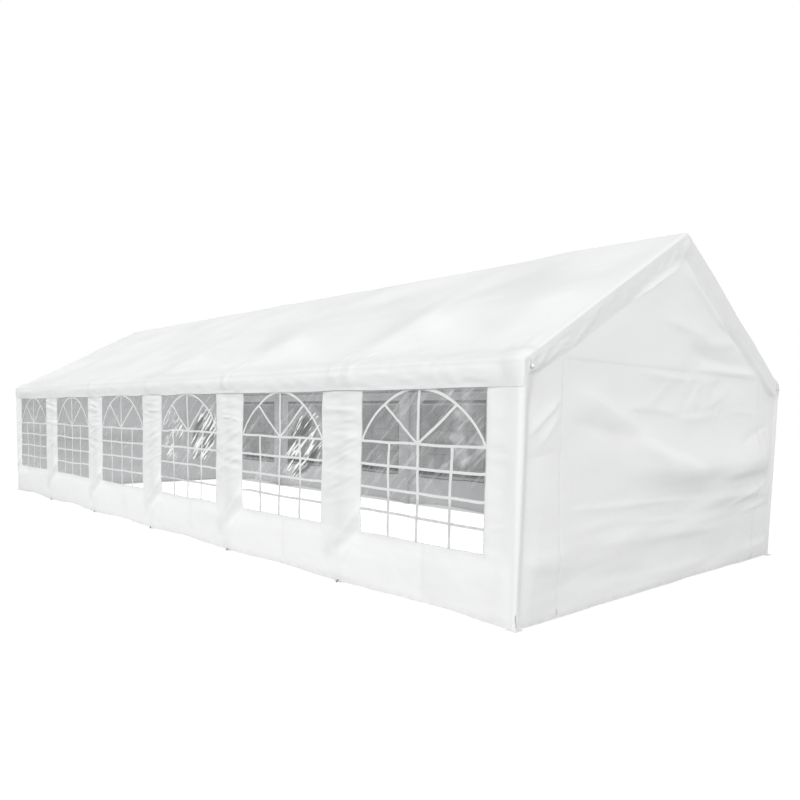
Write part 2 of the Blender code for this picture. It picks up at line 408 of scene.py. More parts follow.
@dataclass
class Cloth:
    """A finished sheet as a grid of points over two rising parameters, which strips and seams can follow."""

    u: Array
    v: Array
    points: Array
    outward: Array

    def uv(self) -> Array:
        """The two parameters at each point, rows by columns by 2."""
        return np.stack(np.meshgrid(self.u, self.v), axis=-1)

    def normals(self) -> Array:
        """Unit normals on the outward side, from central differences along the rows and the columns."""
        found = np.cross(np.gradient(self.points, axis=1), np.gradient(self.points, axis=0))
        found /= np.maximum(np.linalg.norm(found, axis=-1, keepdims=True), 1e-9)
        facing = np.sign((found * self.outward).sum(-1, keepdims=True))
        return found * np.where(facing == 0, 1.0, facing)

    def on(self, u: Array, v: Array, lift: float | Array = 0.0) -> Array:
        """Places on the sheet, blended from the four grid points around each, and raised along the normal.

        Args:
            u: first parameter of each place.
            v: second parameter, of the same shape.
            lift: height above the sheet, in metres.

        Returns:
            Points, of the same shape by 3.
        """
        column = np.clip(np.searchsorted(self.u, u, side="right") - 1, 0, len(self.u) - 2)
        row = np.clip(np.searchsorted(self.v, v, side="right") - 1, 0, len(self.v) - 2)
        s = ((u - self.u[column]) / (self.u[column + 1] - self.u[column]))[..., None]
        t = ((v - self.v[row]) / (self.v[row + 1] - self.v[row]))[..., None]

        def blend(grid: Array) -> Array:
            """One grid's values at the places."""
            low = grid[row, column] * (1 - s) + grid[row, column + 1] * s
            high = grid[row + 1, column] * (1 - s) + grid[row + 1, column + 1] * s
            return low * (1 - t) + high * t

        return blend(self.points) + blend(self.normals()) * np.asarray(lift)[..., None]

    def add_strip(self, shape: Shape, path: Array, half_width: float, lift: float, across: int = 2,
                  tone: Callable[[Array], Array] | None = None) -> None:
        """Add a flat strip that lies on the sheet along a path.

        Args:
            shape: what the strip's faces go to.
            path: the middle line in the two parameters, n by 2.
            half_width: from the middle line to an edge.
            lift: height above the sheet.
            across: cells over the strip's width.
            tone: gives the numbers that the finish reads, from the strip's points. None is 0 all over.
        """
        ahead = np.gradient(path, axis=0)
        ahead /= np.linalg.norm(ahead, axis=1, keepdims=True)
        square = np.stack([-ahead[:, 1], ahead[:, 0]], axis=-1)
        reach = np.linspace(-half_width, half_width, across + 1)[:, None, None]
        places = path[None] + reach * square[None]
        along = np.concatenate([[0.0], np.cumsum(np.linalg.norm(np.diff(path, axis=0), axis=1))])
        uv = np.stack(np.broadcast_arrays(along[None], reach[..., 0]), axis=-1)
        points = self.on(places[..., 0], places[..., 1], lift)
        middle = points.reshape(-1, 3).mean(0)
        facing = self.on(path[:, 0], path[:, 1], 1.0).mean(0) - middle
        shape.add_grid(points, uv=uv, outward=facing, tone=None if tone is None else tone(points))


def line(start: Place, end: Place, cell: float = 0.018) -> Array:
    """Places along a straight line in a sheet's parameters, n by 2."""
    count = max(2, math.ceil(math.dist(start, end) / cell) + 1)
    return np.linspace(start, end, count)


class Value:
    """A number that runs through shader nodes, with Python's operators in place of Math nodes."""

    def __init__(self, graph: "Graph", socket: NodeSocket) -> None:
        """Wrap an output socket of a graph."""
        self.graph = graph
        self.socket = socket

    def math(self, operation: str, first: object, second: object = 0.0) -> "Value":
        """Add one Math node."""
        made = self.graph.node("ShaderNodeMath", {"operation": operation}, {0: first, 1: second})
        return Value(self.graph, made.outputs[0])

    def __add__(self, other: object) -> "Value":
        """self + other."""
        return self.math("ADD", self, other)

    __radd__ = __add__

    def __mul__(self, other: object) -> "Value":
        """self * other."""
        return self.math("MULTIPLY", self, other)

    __rmul__ = __mul__

    def __sub__(self, other: object) -> "Value":
        """self - other."""
        return self.math("SUBTRACT", self, other)

    def __rsub__(self, other: object) -> "Value":
        """other - self."""
        return self.math("SUBTRACT", other, self)

    def __abs__(self) -> "Value":
        """abs(self)."""
        return self.math("ABSOLUTE", self)

    def sin(self) -> "Value":
        """Its sine."""
        return self.math("SINE", self)

    def smooth(self, low: float, high: float, start: float = 0.0, end: float = 1.0) -> "Value":
        """Ease from start to end as the value goes from low to high, and stay there outside.

        Args:
            low: where the change begins.
            high: where it is over; it may be the lower of the two.
            start: the result at low.
            end: the result at high.

        Returns:
            The eased value.
        """
        if low > high:
            low, high, start, end = high, low, end, start
        inputs = {"Value": self, "From Min": low, "From Max": high, "To Min": start, "To Max": end}
        made = self.graph.node("ShaderNodeMapRange", {"interpolation_type": "SMOOTHSTEP"}, inputs)
        return Value(self.graph, made.outputs["Result"])


def greater(first: Value, second: Value | float) -> Value:
    """The larger of two values."""
    return first.math("MAXIMUM", first, second)


class Graph:
    """The node tree of one material or of the world."""

    def __init__(self, owner: Material | World) -> None:
        """Empty the tree and add its output."""
        owner.use_nodes = True
        self.tree = owner.node_tree
        self.tree.nodes.clear()
        world = isinstance(owner, World)
        self.output = self.tree.nodes.new("ShaderNodeOutputWorld" if world else "ShaderNodeOutputMaterial")

    def node(self, kind: str, settings: dict | None = None, inputs: dict | None = None) -> Node:
        """Add a node.

        Args:
            kind: its type.
            settings: attributes, set before the inputs.
            inputs: values, Values or sockets, by the input's name or number.

        Returns:
            The node.
        """
        made = self.tree.nodes.new(kind)
        for name, setting in (settings or {}).items():
            setattr(made, name, setting)
        for name, given in (inputs or {}).items():
            socket = made.inputs[name]
            if isinstance(given, Value):
                given = given.socket
            if isinstance(given, NodeSocket):
                self.tree.links.new(given, socket)
            else:
                socket.default_value = given
        return made

    def place(self) -> NodeSocket:
        """The point in the tent's own frame."""
        return self.node("ShaderNodeTexCoord").outputs["Object"]

    def sheet_place(self) -> NodeSocket:
        """The point in metres along the sheet."""
        return self.node("ShaderNodeTexCoord").outputs["UV"]

    def parts(self, vector: NodeSocket) -> tuple[Value, Value, Value]:
        """A vector's three numbers."""
        made = self.node("ShaderNodeSeparateXYZ", None, {"Vector": vector})
        return tuple(Value(self, made.outputs[i]) for i in range(3))

    def attribute(self, name: str) -> Value:
        """A number that the mesh carries."""
        return Value(self, self.node("ShaderNodeAttribute", {"attribute_name": name}).outputs["Fac"])

    def turned(self, vector: NodeSocket, rotation: tuple, scale: tuple) -> NodeSocket:
        """A vector turned, then scaled."""
        inputs = {"Vector": vector, "Rotation": rotation}
        turn = self.node("ShaderNodeMapping", {"vector_type": "POINT"}, inputs)
        inputs = {0: turn.outputs["Vector"], 1: scale}
        return self.node("ShaderNodeVectorMath", {"operation": "MULTIPLY"}, inputs).outputs[0]

    def noise(self, vector: NodeSocket, size: float, detail: float = 2.0, rough: float = 0.5) -> Value:
        """Soft noise from 0 to 1 about 0.5.

        Args:
            vector: where it is read.
            size: of its largest lumps, in the vector's units.
            detail: how many finer layers it has.
            rough: how strong each finer layer is beside the one before.

        Returns:
            The noise.
        """
        inputs = {"Vector": vector, "Scale": 1.0 / size, "Detail": detail, "Roughness": rough}
        return Value(self, self.node("ShaderNodeTexNoise", None, inputs).outputs["Fac"])

    def creases(self, vector: NodeSocket, size: float, width: float) -> Value:
        """A net of fine lines, 1 on a line and 0 off it: the borders of Voronoi cells of a size.

        Args:
            vector: where it is read.
            size: of the cells.
            width: of the lines, as a share of the cells' size.

        Returns:
            The net.
        """
        inputs = {"Vector": vector, "Scale": 1.0 / size}
        cells = self.node("ShaderNodeTexVoronoi", {"feature": "DISTANCE_TO_EDGE"}, inputs)
        return Value(self, cells.outputs["Distance"]).smooth(width, 0.0)

    def warped(self, vector: NodeSocket, size: float, reach: float) -> NodeSocket:
        """A vector pushed about by soft noise, by up to half of reach."""
        inputs = {"Vector": vector, "Scale": 1.0 / size, "Detail": 2.0}
        push = self.node("ShaderNodeTexNoise", None, inputs).outputs["Color"]
        scaled = self.node("ShaderNodeVectorMath", {"operation": "SCALE"}, {0: push, "Scale": reach})
        inputs = {0: vector, 1: scaled.outputs[0]}
        return self.node("ShaderNodeVectorMath", {"operation": "ADD"}, inputs).outputs[0]

    def mixed(self, factor: Value | float, first: object, second: object) -> NodeSocket:
        """A colour between two.

        Args:
            factor: 0 for the first and 1 for the second.
            first: a socket, or three numbers.
            second: the same.

        Returns:
            The colour.
        """
        made = self.node("ShaderNodeMix", {"data_type": "RGBA"}, {"Factor": factor})
        for socket, given in ((made.inputs[6], first), (made.inputs[7], second)):
            if isinstance(given, NodeSocket):
                self.tree.links.new(given, socket)
            else:
                socket.default_value = (*given, 1.0)
        return made.outputs[2]

    def bump(self, height: Value) -> NodeSocket:
        """A normal that follows a height given in metres."""
        inputs = {"Height": height, "Distance": 1.0, "Strength": 1.0}
        return self.node("ShaderNodeBump", None, inputs).outputs[0]

    def blended(self, factor: Value | NodeSocket | float, first: Node, second: Node) -> Node:
        """A shader between two, the first where the factor is 0."""
        inputs = {0: factor, 1: first.outputs[0], 2: second.outputs[0]}
        return self.node("ShaderNodeMixShader", None, inputs)

    def surface(self, shader: Node) -> None:
        """Send a shader to the output."""
        self.tree.links.new(shader.outputs[0], self.output.inputs["Surface"])


@dataclass(frozen=True)
class Finish:
    """A named material. Each kind of finish lays out its own shader."""

    name: str

    def build(self) -> Material:
        """Make the material."""
        material = bpy.data.materials.new(self.name)
        graph = Graph(material)
        graph.surface(self.shader(graph))
        return material

    def shader(self, graph: Graph) -> Node:
        """Lay out the nodes in an empty graph.

        Args:
            graph: of the material.

        Returns:
            The shader that the material shows.
        """
        raise NotImplementedError


@dataclass(frozen=True)
class CoatedSheet(Finish):
    """White coated sheet: a fine weave under a soft sheen, crumpled from packing, duller at the ground.

    Where the mesh's tone is 1 the sheet is painted greyer, as painted shade: where it lies double or over a
    tube, and in patches where its folds would be in shade. Where it is -1 it is painted whiter, as painted
    light.
    """

    name: str = "coated_sheet"
    colour: tuple = (0.885, 0.888, 0.892)
    painted_shade_colour: tuple = (0.805, 0.809, 0.814)
    painted_light_colour: tuple = (0.965, 0.967, 0.970)
    hem_colour: tuple = (0.70, 0.69, 0.67)
    glow: float = 0.10
    crumple: float = 0.0006
    crease: float = 0.0004
    thread: float = 0.0016

    def shader(self, graph: Graph) -> Node:
        """Lay out the nodes."""
        place = graph.place()
        along, across, _ = graph.parts(graph.sheet_place())
        height = graph.parts(place)[2]
        pace = 2 * math.pi / self.thread
        weave = (along * pace).sin() * (across * pace).sin()
        warped = graph.warped(place, 0.11, 0.05)
        crumple = graph.noise(warped, 0.055, 3.0, 0.55)
        fold_net = graph.creases(warped, 0.24, 0.05) + 0.6 * graph.creases(warped, 0.09, 0.07)
        patch = graph.noise(place, 0.9, 2.0)
        crushed = patch.smooth(0.45, 0.62)
        # Darker towards the ground, in noisy patches.
        low_darkening = height.smooth(0.10, 0.0) * graph.noise(place, 0.07, 4.0, 0.6).smooth(0.35, 0.75)
        colour = graph.mixed(patch * 0.25, self.colour, (0.86, 0.862, 0.868))
        # Painted shade where the tone is above 0, and painted light where it is below 0.
        colour = graph.mixed(graph.attribute(TONE).smooth(0.0, 1.0), colour, self.painted_shade_colour)
        colour = graph.mixed(graph.attribute(TONE).smooth(0.0, -1.0), colour, self.painted_light_colour)
        colour = graph.mixed(low_darkening * 0.5, colour, self.hem_colour)
        bump = graph.bump(crumple * self.crumple - fold_net * crushed * self.crease + weave * 0.00001)
        inputs = {"Base Color": colour, "Normal": bump, "Roughness": patch.smooth(0.3, 0.7, 0.46, 0.56),
                  "Specular IOR Level": 0.35}
        coated = graph.node("ShaderNodeBsdfPrincipled", None, inputs)
        inputs = {"Color": (0.86, 0.87, 0.88, 1.0), "Normal": bump}
        through = graph.node("ShaderNodeBsdfTranslucent", None, inputs)
        return graph.blended(self.glow, coated, through)


@dataclass(frozen=True)
class WindowFilm(Finish):
    """Clear glossy film, a little smoky, with slanted creases.

    Where the mesh's tone is above 0 the film is cloudy, above 0.35 its creases carry painted glare, white
    streaks that stand for reflections, and above 0.6 painted dark reflections lie between them. Where it is
    below 0 the film is painted nearly black, as painted shade.
    """

    name: str = "window_film"
    colour: tuple = (0.14, 0.145, 0.15)
    opacity: float = 0.46
    slant: float = math.radians(-48)

    def shader(self, graph: Graph) -> Node:
        """Lay out the nodes."""
        place = graph.place()
        tone = graph.attribute(TONE)
        glare = tone.smooth(0.0, 1.0)
        shadow = tone.smooth(0.0, -1.0)
        slanted = graph.turned(graph.warped(place, 0.25, 0.03), (0.0, self.slant, 0.0), (1.0, 1.0, 0.12))
        strokes = graph.noise(slanted, 0.034, 1.5, 0.5)
        group = graph.noise(slanted, 0.13, 1.0)
        # Painted glare: white streaks on the creases that stand for reflections, and painted dark reflections
        # between them.
        bright = strokes.smooth(0.55, 0.60) * glare.smooth(0.35, 0.6)
        dark = strokes.smooth(0.53, 0.46) * group.smooth(0.30, 0.46) * glare.smooth(0.50, 0.95) * 0.70
        creases = graph.noise(slanted, 0.055, 3.0, 0.6).smooth(0.50, 0.70)
        cloud = graph.noise(graph.warped(place, 0.3, 0.2), 0.30, 3.0, 0.55).smooth(0.40, 0.72)
        haze = creases * 0.36 + cloud * (glare.smooth(0.0, 0.25) * 0.40 + 0.22)
        shade = graph.mixed(haze, self.colour, (0.82, 0.83, 0.84))
        # Painted shade and the painted dark reflections turn the film near black.
        shade = graph.mixed(greater(dark * 0.95, shadow), shade, (0.012, 0.012, 0.013))
        colour = graph.mixed(bright, shade, (0.95, 0.95, 0.95))
        cover = greater(greater(bright, dark * 0.85), shadow * 0.97)
        opacity = self.opacity + haze * 0.42 + cover * (0.95 - self.opacity)
        bump = graph.bump(graph.noise(slanted, 0.05, 2.0) * 0.0012 + graph.noise(place, 0.12, 2.0) * 0.0014)
        inputs = {"Base Color": colour, "Alpha": opacity, "Normal": bump, "Roughness": 0.09, "IOR": 1.5}
        return graph.node("ShaderNodeBsdfPrincipled", None, inputs)


@dataclass(frozen=True)
class PrintedBar(Finish):
    """White ink on the film: painted greyer, as painted shade, where the tone is 1, and thin enough to see
    through where it is -1.
    """

    name: str = "printed_bar"
    colour: tuple = (0.86, 0.862, 0.865)
    low_colour: tuple = (0.66, 0.67, 0.68)
    through: float = 0.15

    def shader(self, graph: Graph) -> Node:
        """Lay out the nodes."""
        place = graph.place()
        speckle = graph.noise(place, 0.012, 3.0)
        # Painted shade: where the tone is above 0 the ink is painted greyer, in blotches.
        grey = graph.attribute(TONE).smooth(0.0, 1.0)
        thin = graph.attribute(TONE).smooth(0.0, -1.0)
        shade_blotches = graph.noise(place, 0.06, 3.0).smooth(0.35, 0.75)
        low = graph.mixed(shade_blotches, self.low_colour, (0.80, 0.80, 0.81))
        colour = graph.mixed(grey, graph.mixed(speckle * 0.2, self.colour, (0.84, 0.85, 0.86)), low)
        inputs = {"Base Color": colour, "Roughness": speckle.smooth(0.3, 0.7, 0.28, 0.36),
                  "Normal": graph.bump(speckle * 0.00012)}
        ink = graph.node("ShaderNodeBsdfPrincipled", None, inputs)
        glow = graph.node("ShaderNodeBsdfTranslucent", None, {"Color": colour})
        lit = graph.blended(thin * 0.45 + self.through, ink, glow)
        return graph.blended(thin * 0.72, lit, graph.node("ShaderNodeBsdfTransparent"))


@dataclass(frozen=True)
class PaintedSteel(Finish):
    """White powder coat with a fine orange peel, and faint scuffs."""

    name: str = "powder_coat"
    colour: tuple = (0.80, 0.81, 0.82)

    def shader(self, graph: Graph) -> Node:
        """Lay out the nodes."""
        place = graph.place()
        scuffs = graph.noise(place, 0.03, 5.0, 0.7).smooth(0.62, 0.75)
        colour = graph.mixed(scuffs * 0.5, self.colour, (0.60, 0.60, 0.60))
        peel = graph.noise(place, 0.002, 1.0) * 0.00003
        inputs = {"Base Color": colour, "Normal": graph.bump(peel), "Coat Weight": 0.25,
                  "Coat Roughness": 0.2, "Roughness": scuffs.smooth(0.0, 1.0, 0.34, 0.5)}
        return graph.node("ShaderNodeBsdfPrincipled", None, inputs)


@dataclass(frozen=True)
class PlainFinish(Finish):
    """A small fitting's finish: one colour that varies a little, with a fine grain."""

    colour: tuple
    roughness: float
    metallic: float = 0.0
    grain: float = 0.00005
    stain: float = 0.28

    def shader(self, graph: Graph) -> Node:
        """Lay out the nodes."""
        place = graph.place()
        stain = graph.noise(place, 0.015, 4.0, 0.6)
        darker = tuple(channel * (1 - self.stain) for channel in self.colour)
        inputs = {"Base Color": graph.mixed(stain.smooth(0.4, 0.8), self.colour, darker),
                  "Roughness": stain.smooth(0.3, 0.7, self.roughness - 0.06, self.roughness + 0.06),
                  "Metallic": self.metallic, "Normal": graph.bump(graph.noise(place, 0.003) * self.grain)}
        return graph.node("ShaderNodeBsdfPrincipled", None, inputs)


@dataclass
class Finishes:
    """Every finish on the tent, each made once."""

    sheet: Material = field(default_factory=CoatedSheet().build)
    film: Material = field(default_factory=WindowFilm().build)
    bar: Material = field(default_factory=PrintedBar().build)
    steel: Material = field(default_factory=PaintedSteel().build)
    zip_tape: Material = field(
        default_factory=PlainFinish("zip_tape", (0.875, 0.878, 0.882), 0.6, grain=0.00002, stain=0.03).build)
    zip_teeth: Material = field(
        default_factory=PlainFinish("zip_teeth", (0.88, 0.883, 0.887), 0.45, grain=0.00002, stain=0.03).build)
    peg: Material = field(
        default_factory=PlainFinish("peg_steel", (0.24, 0.24, 0.245), 0.45, metallic=0.5).build)
    ball: Material = field(default_factory=PlainFinish("white_ball", (0.88, 0.88, 0.88), 0.3).build)


def dress(piece: Object, material: Material, slot: str | None, *nodes: str) -> Object:
    """Give a piece its finish and its place on the frame.

    Args:
        piece: a new object at the origin.
        material: its finish.
        slot: the record's material slot, or None. It is not used.
        nodes: the CAD nodes that it stands for.

    Returns:
        The same object.
    """
    piece.data.materials.append(material)
    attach(piece, ROOT)
    if nodes:
        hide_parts(*nodes)
    LOG.info("%s: %d faces, for %s", piece.name, len(piece.data.polygons), ", ".join(nodes) or "detail")
    return piece


def gable_out(gables: dict[int, "GableWall"], x: Array, y: Array, z: Array) -> Array:
    """How far beyond an end bent a sheet lies that laps over the gable: the right one where x is above 0."""
    return np.where(x > 0, gables[1].surface(y, z), gables[-1].surface(y, z)) + LAP


@dataclass
class RoofCover:
    """One sheet over both slopes, with a valance down each long side and a flap down each gable rake.

    Across the tent it runs up the front valance, round the eave purlin, up the slope, over the ridge and
    down the back. At each end it turns down over the rafter and hangs as a flap. It sags between the tubes.
    """

    tent: TentSizes
    finishes: Finishes
    gables: dict[int, "GableWall"]
    bend: float = 0.0305
    core: float = 0.012
    end_bend: float = 0.0325
    valance: float = 0.178
    flap_at_eave: float = 0.185
    flap_at_ridge: float = 0.225
    cell: float = 0.0325
    sag: float = 0.042
    rise: float = 0.020
    hem: float = 0.028

    def section(self) -> dict[str, Array]:
        """The path across the tent, from one hem to the other.

        The path is a core line, and the sheet lies outside it by bend - core. The core turns round each
        purlin's axis with the radius core, so that the flaps' tops don't shrink to a point.

        Returns:
            Arrays of one value a row: y, z, normal_y, normal_z, upslope, the distance up the slope from the
            eave, drop, how far down the valance, side, -1 or 1, and length along the sheet.
        """
        tent = self.tent
        steep = QUARTER - tent.pitch
        drops = steps(0.0, self.valance - self.hem, self.valance, cell=self.cell * 0.7)[::-1]
        eave = np.linspace(0, steep, 6)[1:]
        rise = steps(0.0, tent.slope_length / 2, tent.slope_length, cell=self.cell)[1:]
        ridge = np.linspace(steep, QUARTER, 5)[1:]
        turn = np.concatenate([np.zeros(len(drops)), eave, np.full(len(rise), steep), ridge])
        top = np.full(len(ridge), tent.slope_length)
        upslope = np.concatenate([np.zeros(len(drops) + len(eave)), rise, top])
        drop = np.concatenate([drops, np.zeros(len(turn) - len(drops))])
        y = -tent.half_span + upslope * math.cos(tent.pitch) - self.core * np.cos(turn)
        z = tent.eave_z + upslope * math.sin(tent.pitch) + self.core * np.sin(turn) - drop
        half = {"y": y, "z": z, "normal_y": -np.cos(turn), "normal_z": np.sin(turn), "upslope": upslope,
                "drop": drop, "side": np.full(len(turn), -1.0)}
        mirrored = {"y", "normal_y", "side"}
        whole = {name: np.concatenate([part, (-part if name in mirrored else part)[-2::-1]])
                 for name, part in half.items()}
        lift = self.bend - self.core
        path = np.stack([whole["y"] + lift * whole["normal_y"], whole["z"] + lift * whole["normal_z"]])
        whole["length"] = np.concatenate([[0.0], np.cumsum(np.hypot(*np.diff(path)))])
        return whole

    def stations(self) -> dict[str, Array]:
        """The places along the tent: along the ridge, round each end rafter, and down each flap.

        Returns:
            Arrays of one value a column: x of the core, turn round the end rafter, fall down the flap from 0
            to 1, end, -1 or 1, and length along the sheet.
        """
        tent = self.tent
        level = steps(*tent.bent_xs, cell=self.cell)
        turn = np.linspace(0, QUARTER, 7)[1:]
        fall = steps(0.0, 0.78, 1.0, cell=0.075)[1:]
        after = len(turn) + len(fall)
        x = np.concatenate([np.full(after, level[0]), level, np.full(after, level[-1])])
        turns = np.concatenate([turn, np.full(len(fall), QUARTER)])
        falls = np.concatenate([np.zeros(len(turn)), fall])
        middle = np.zeros(len(level))
        length = np.concatenate([turn * self.end_bend, QUARTER * self.end_bend + fall * self.flap_at_eave])
        return {"x": x, "turn": np.concatenate([turns[::-1], middle, turns]),
                "fall": np.concatenate([falls[::-1], middle, falls]),
                "end": np.concatenate([np.full(after, -1.0), np.sign(level), np.full(after, 1.0)]),
                "length": np.concatenate([level[0] - length[::-1], level, level[-1] + length])}

    def slackness(self, x: Array, upslope: Array, reach: float = 0.12) -> Array:
        """0 on a tube and near 1 away from all of them: one less a bell about each bent and purlin."""
        tent = self.tent
        half = tent.slope_length / 2
        from_purlin = (upslope + half / 2) % half - half / 2
        return (1 - bell(tent.from_bent(x), reach)) * (1 - bell(from_purlin, reach))

    def hang(self, x: Array, upslope: Array, side: Array) -> Array:
        """How far the sheet hangs between the tubes, with a crease over each bent.

        Across a bay, s from 0 to 1, it hangs as sin(pi * s ** p) ** 1.7. The power p puts the deepest line at
        0.60 of the bay by the eave and at 0.42 half way up. Up the slope the depth goes as 1 - |t| ** 2.4, t
        from -1 to 1, halved by a bell about the middle purlin, less a soft rise. Each bay has its own depth.

        Args:
            x: along the tent.
            upslope: distance up the slope.
            side: -1 on the front and 1 on the back.

        Returns:
            Distance inwards along the slope's normal.
        """
        tent = self.tent
        bay = np.clip(((x + tent.half_length) // tent.bay).astype(int), 0, len(tent.bent_xs) - 2)
        depths = np.random.default_rng(12).uniform(0.65, 1.15, (2, len(tent.bent_xs) - 1))
        depth = depths[(side > 0).astype(int), bay]
        s = np.clip((x + tent.half_length) / tent.bay - bay, 0, 1)
        t = upslope / tent.slope_length
        power = math.log(0.5) / np.log(np.clip(0.60 - 0.36 * t, 0.42, 0.60))
        across = np.clip(np.sin(math.pi * s ** power), 0, 1) ** 1.7
        span = 1 - np.abs(2 * t - 1) ** 2.4
        purlin = 1 - 0.5 * bell(t - 0.5, 0.13)
        to_end = smooth(tent.half_length - np.abs(x), 0.6)
        return self.sag * depth * across * span * purlin - self.rise * span * (0.4 + 0.6 * across) * to_end

    def pulls(self) -> list[Fold]:
        """The broad soft folds of the front slope, in x and the distance up the slope."""
        folds = []
        for number, x in enumerate(self.tent.bent_xs[1:-1]):
            weight = (0.7, 0.9, 0.8, 1.0, 1.15)[number]
            folds.append(Fold((x + 0.02, 1.05), (x - 0.05, 2.0), 0.013 * weight, 0.50, lean=0.45))
            folds.append(Fold((x, 0.25), (x, 1.45), 0.006 * weight, 0.36, lean=-0.55))
        folds.append(Fold((5.40, 0.15), (5.50, 1.25), 0.014, 0.34, lean=0.3))
        folds.append(Fold((5.35, 1.35), (4.75, 2.75), 0.028, 0.60, lean=0.45))
        return folds

    def eave_folds(self, seed: int) -> list[Fold]:
        """Folds that spread up the slope from each bent's eave and run on down the valance.

        Args:
            seed: of the random draws.

        Returns:
            Folds in x and the distance up the slope, which is negative on the valance.
        """
        draw = np.random.default_rng(seed)
        folds = []
        for x in self.tent.bent_xs:
            for lean_x in (-0.24, -0.08, 0.10, 0.26):
                reach = draw.uniform(0.22, 0.5)
                foot = x + lean_x * 0.35 + draw.uniform(-0.03, 0.03)
                head = (x + lean_x * reach / 0.35, reach)
                folds.append(Fold((foot, -0.15), head, draw.uniform(0.007, 0.017), draw.uniform(0.022, 0.04),
                                  lean=draw.uniform(-0.4, 0.4)))
        return folds

    def slope_relief(self, x: Array, run: Array, upslope: Array, side: Array) -> Array:
        """Height of the swells, pulls and creases on the slopes and valances.

        Args:
            x: along the tent.
            run: distance up the slope, negative on the valance.
            upslope: the same, but 0 on the valance.
            side: -1 on the front and 1 on the back.

        Returns:
            Height along the normal.
        """
        slack = self.slackness(x, upslope)
        across = run + (side > 0) * 40.0
        wide = billows(3, x, across, ((1.25, 1.10), 0.030, 0.5), ((0.50, 0.50), 0.012, -0.4))
        wide = np.where(wide < 0, wide * self.slackness(x, upslope, 0.30), wide * (0.6 + 0.4 * slack))
        wide = wide * (0.35 + 0.65 * smooth(run + 0.05, 0.4))
        wide = wide + relief(self.pulls(), x, run) * smooth(run, 0.25) * (side < 0)
        fine = billows(5, x, across, ((0.15, 0.13), 0.0013, 0.3), ((0.30, 0.12), 0.0010, 0.9))
        front = relief(self.eave_folds(21), x, run)
        back = relief(self.eave_folds(22), x, run)
        near_eave = smooth(0.42 - run, 0.3)
        crushed = Billow(8, (0.13, 0.05), 0.0075, 0.7).at(x, across) * near_eave * smooth(run + 0.06, 0.05)
        crushed_bay = smooth(x - 3.9, 0.3) * smooth(5.8 - x, 0.3) * (side < 0) + 0.35
        folds = np.where(side < 0, front, back) * smooth(run + 0.2, 0.06)
        knuckle = (0.014 + Billow(7, (0.45, 9.0), 0.006).at(x, run)) * bell(run - 0.03, 0.12)
        return wide + fine * (0.25 + 0.75 * slack) + folds + np.abs(crushed) * crushed_bay + knuckle

    def valance_relief(self, x: Array, drop: Array, side: Array) -> Array:
        """Waves that grow down the valance, its crumples, and the hem's curl away from the wall.

        At the corners the valance stands out over the wall's own bend and its hem lies close.

        Args:
            x: along the tent.
            drop: distance down the valance.
            side: -1 on the front and 1 on the back.

        Returns:
            Height along the normal.
        """
        share = np.clip(drop / self.valance, 0, 1)
        along = x + (side > 0) * 30.0
        waves = billows(9, along, drop, ((0.42, 9.0), 0.008), ((0.16, 0.4), 0.004))
        crumple = billows(12, along, drop, ((0.24, 0.06), 0.009, 0.18), ((0.10, 0.035), 0.004, -0.25))
        crumple = np.abs(crumple) * smooth(drop, 0.06) * smooth(self.valance - drop, 0.04)
        belly = (0.013 + Billow(14, (0.6, 9.0), 0.007).at(along, drop)) * np.sin(math.pi * share ** 0.75)
        curl = 0.003 + np.abs(Billow(11, (0.30, 9.0), 0.007).at(along, drop))
        corner = smooth(np.abs(x) - self.tent.half_length + 0.32, 0.17)
        loose = share * np.abs(waves) * (1 - 0.5 * share) + crumple + belly
        loose = (loose + curl * smooth(drop - (self.valance - 0.03), 0.03)) * (1 - corner)
        to_leg = np.clip(self.tent.half_length - np.abs(x), 0, None)
        close = (CornerBend().loose * bell(to_leg, 0.10) - 0.0010) * smooth(drop, 0.12)
        return loose + np.maximum(close, 0.010 * np.sin(math.pi * share) ** 0.8) * corner

    def knuckle(self, length: Array, run: Array, fall: Array, side: Array) -> Array:
        """The stiff bulge where a folded corner turns onto the gable: a bell 6 cm wide, less on the back."""
        near_end = smooth(np.abs(length) - self.tent.half_length + 0.34, 0.32)
        height = np.where(side > 0, 0.003, 0.013)
        return height * bell(run - 0.080, 0.060) * near_end * (1 - 0.3 * fall)

    def flap_relief(self, y: Array, fall: Array, end: Array) -> Array:
        """Crumples of a gable flap, the folded bulge at the apex, and the hem that turns out near it.

        Args:
            y: across the tent.
            fall: down the flap, 0 to 1.
            end: -1 on the left and 1 on the right.

        Returns:
            Height outwards.
        """
        along = y + end * 20.0
        waves = relief([Billow(31, (0.40, 0.9), 0.006), Billow(32, (0.11, 0.40), 0.0055, 0.25),
                        Billow(35, (0.06, 0.30), 0.0032, -0.5)], along, fall)
        near_apex = smooth(y + 1.15, 0.5) * smooth(0.16 - y, 0.12) * (end > 0)
        start = 1.0 - 0.22 * near_apex
        curl = 0.032 * near_apex * np.clip((fall - start) / 0.22, 0, 1)
        bulge = 0.018 * bell(y, 0.07) * bell(fall - 0.45, 0.30)
        to_corner = self.tent.half_span - np.abs(y)
        middle = np.sin(math.pi * np.clip(fall, 0, 1)) ** 0.7 * smooth(to_corner, 0.10)
        return np.abs(waves) * middle + curl + bulge

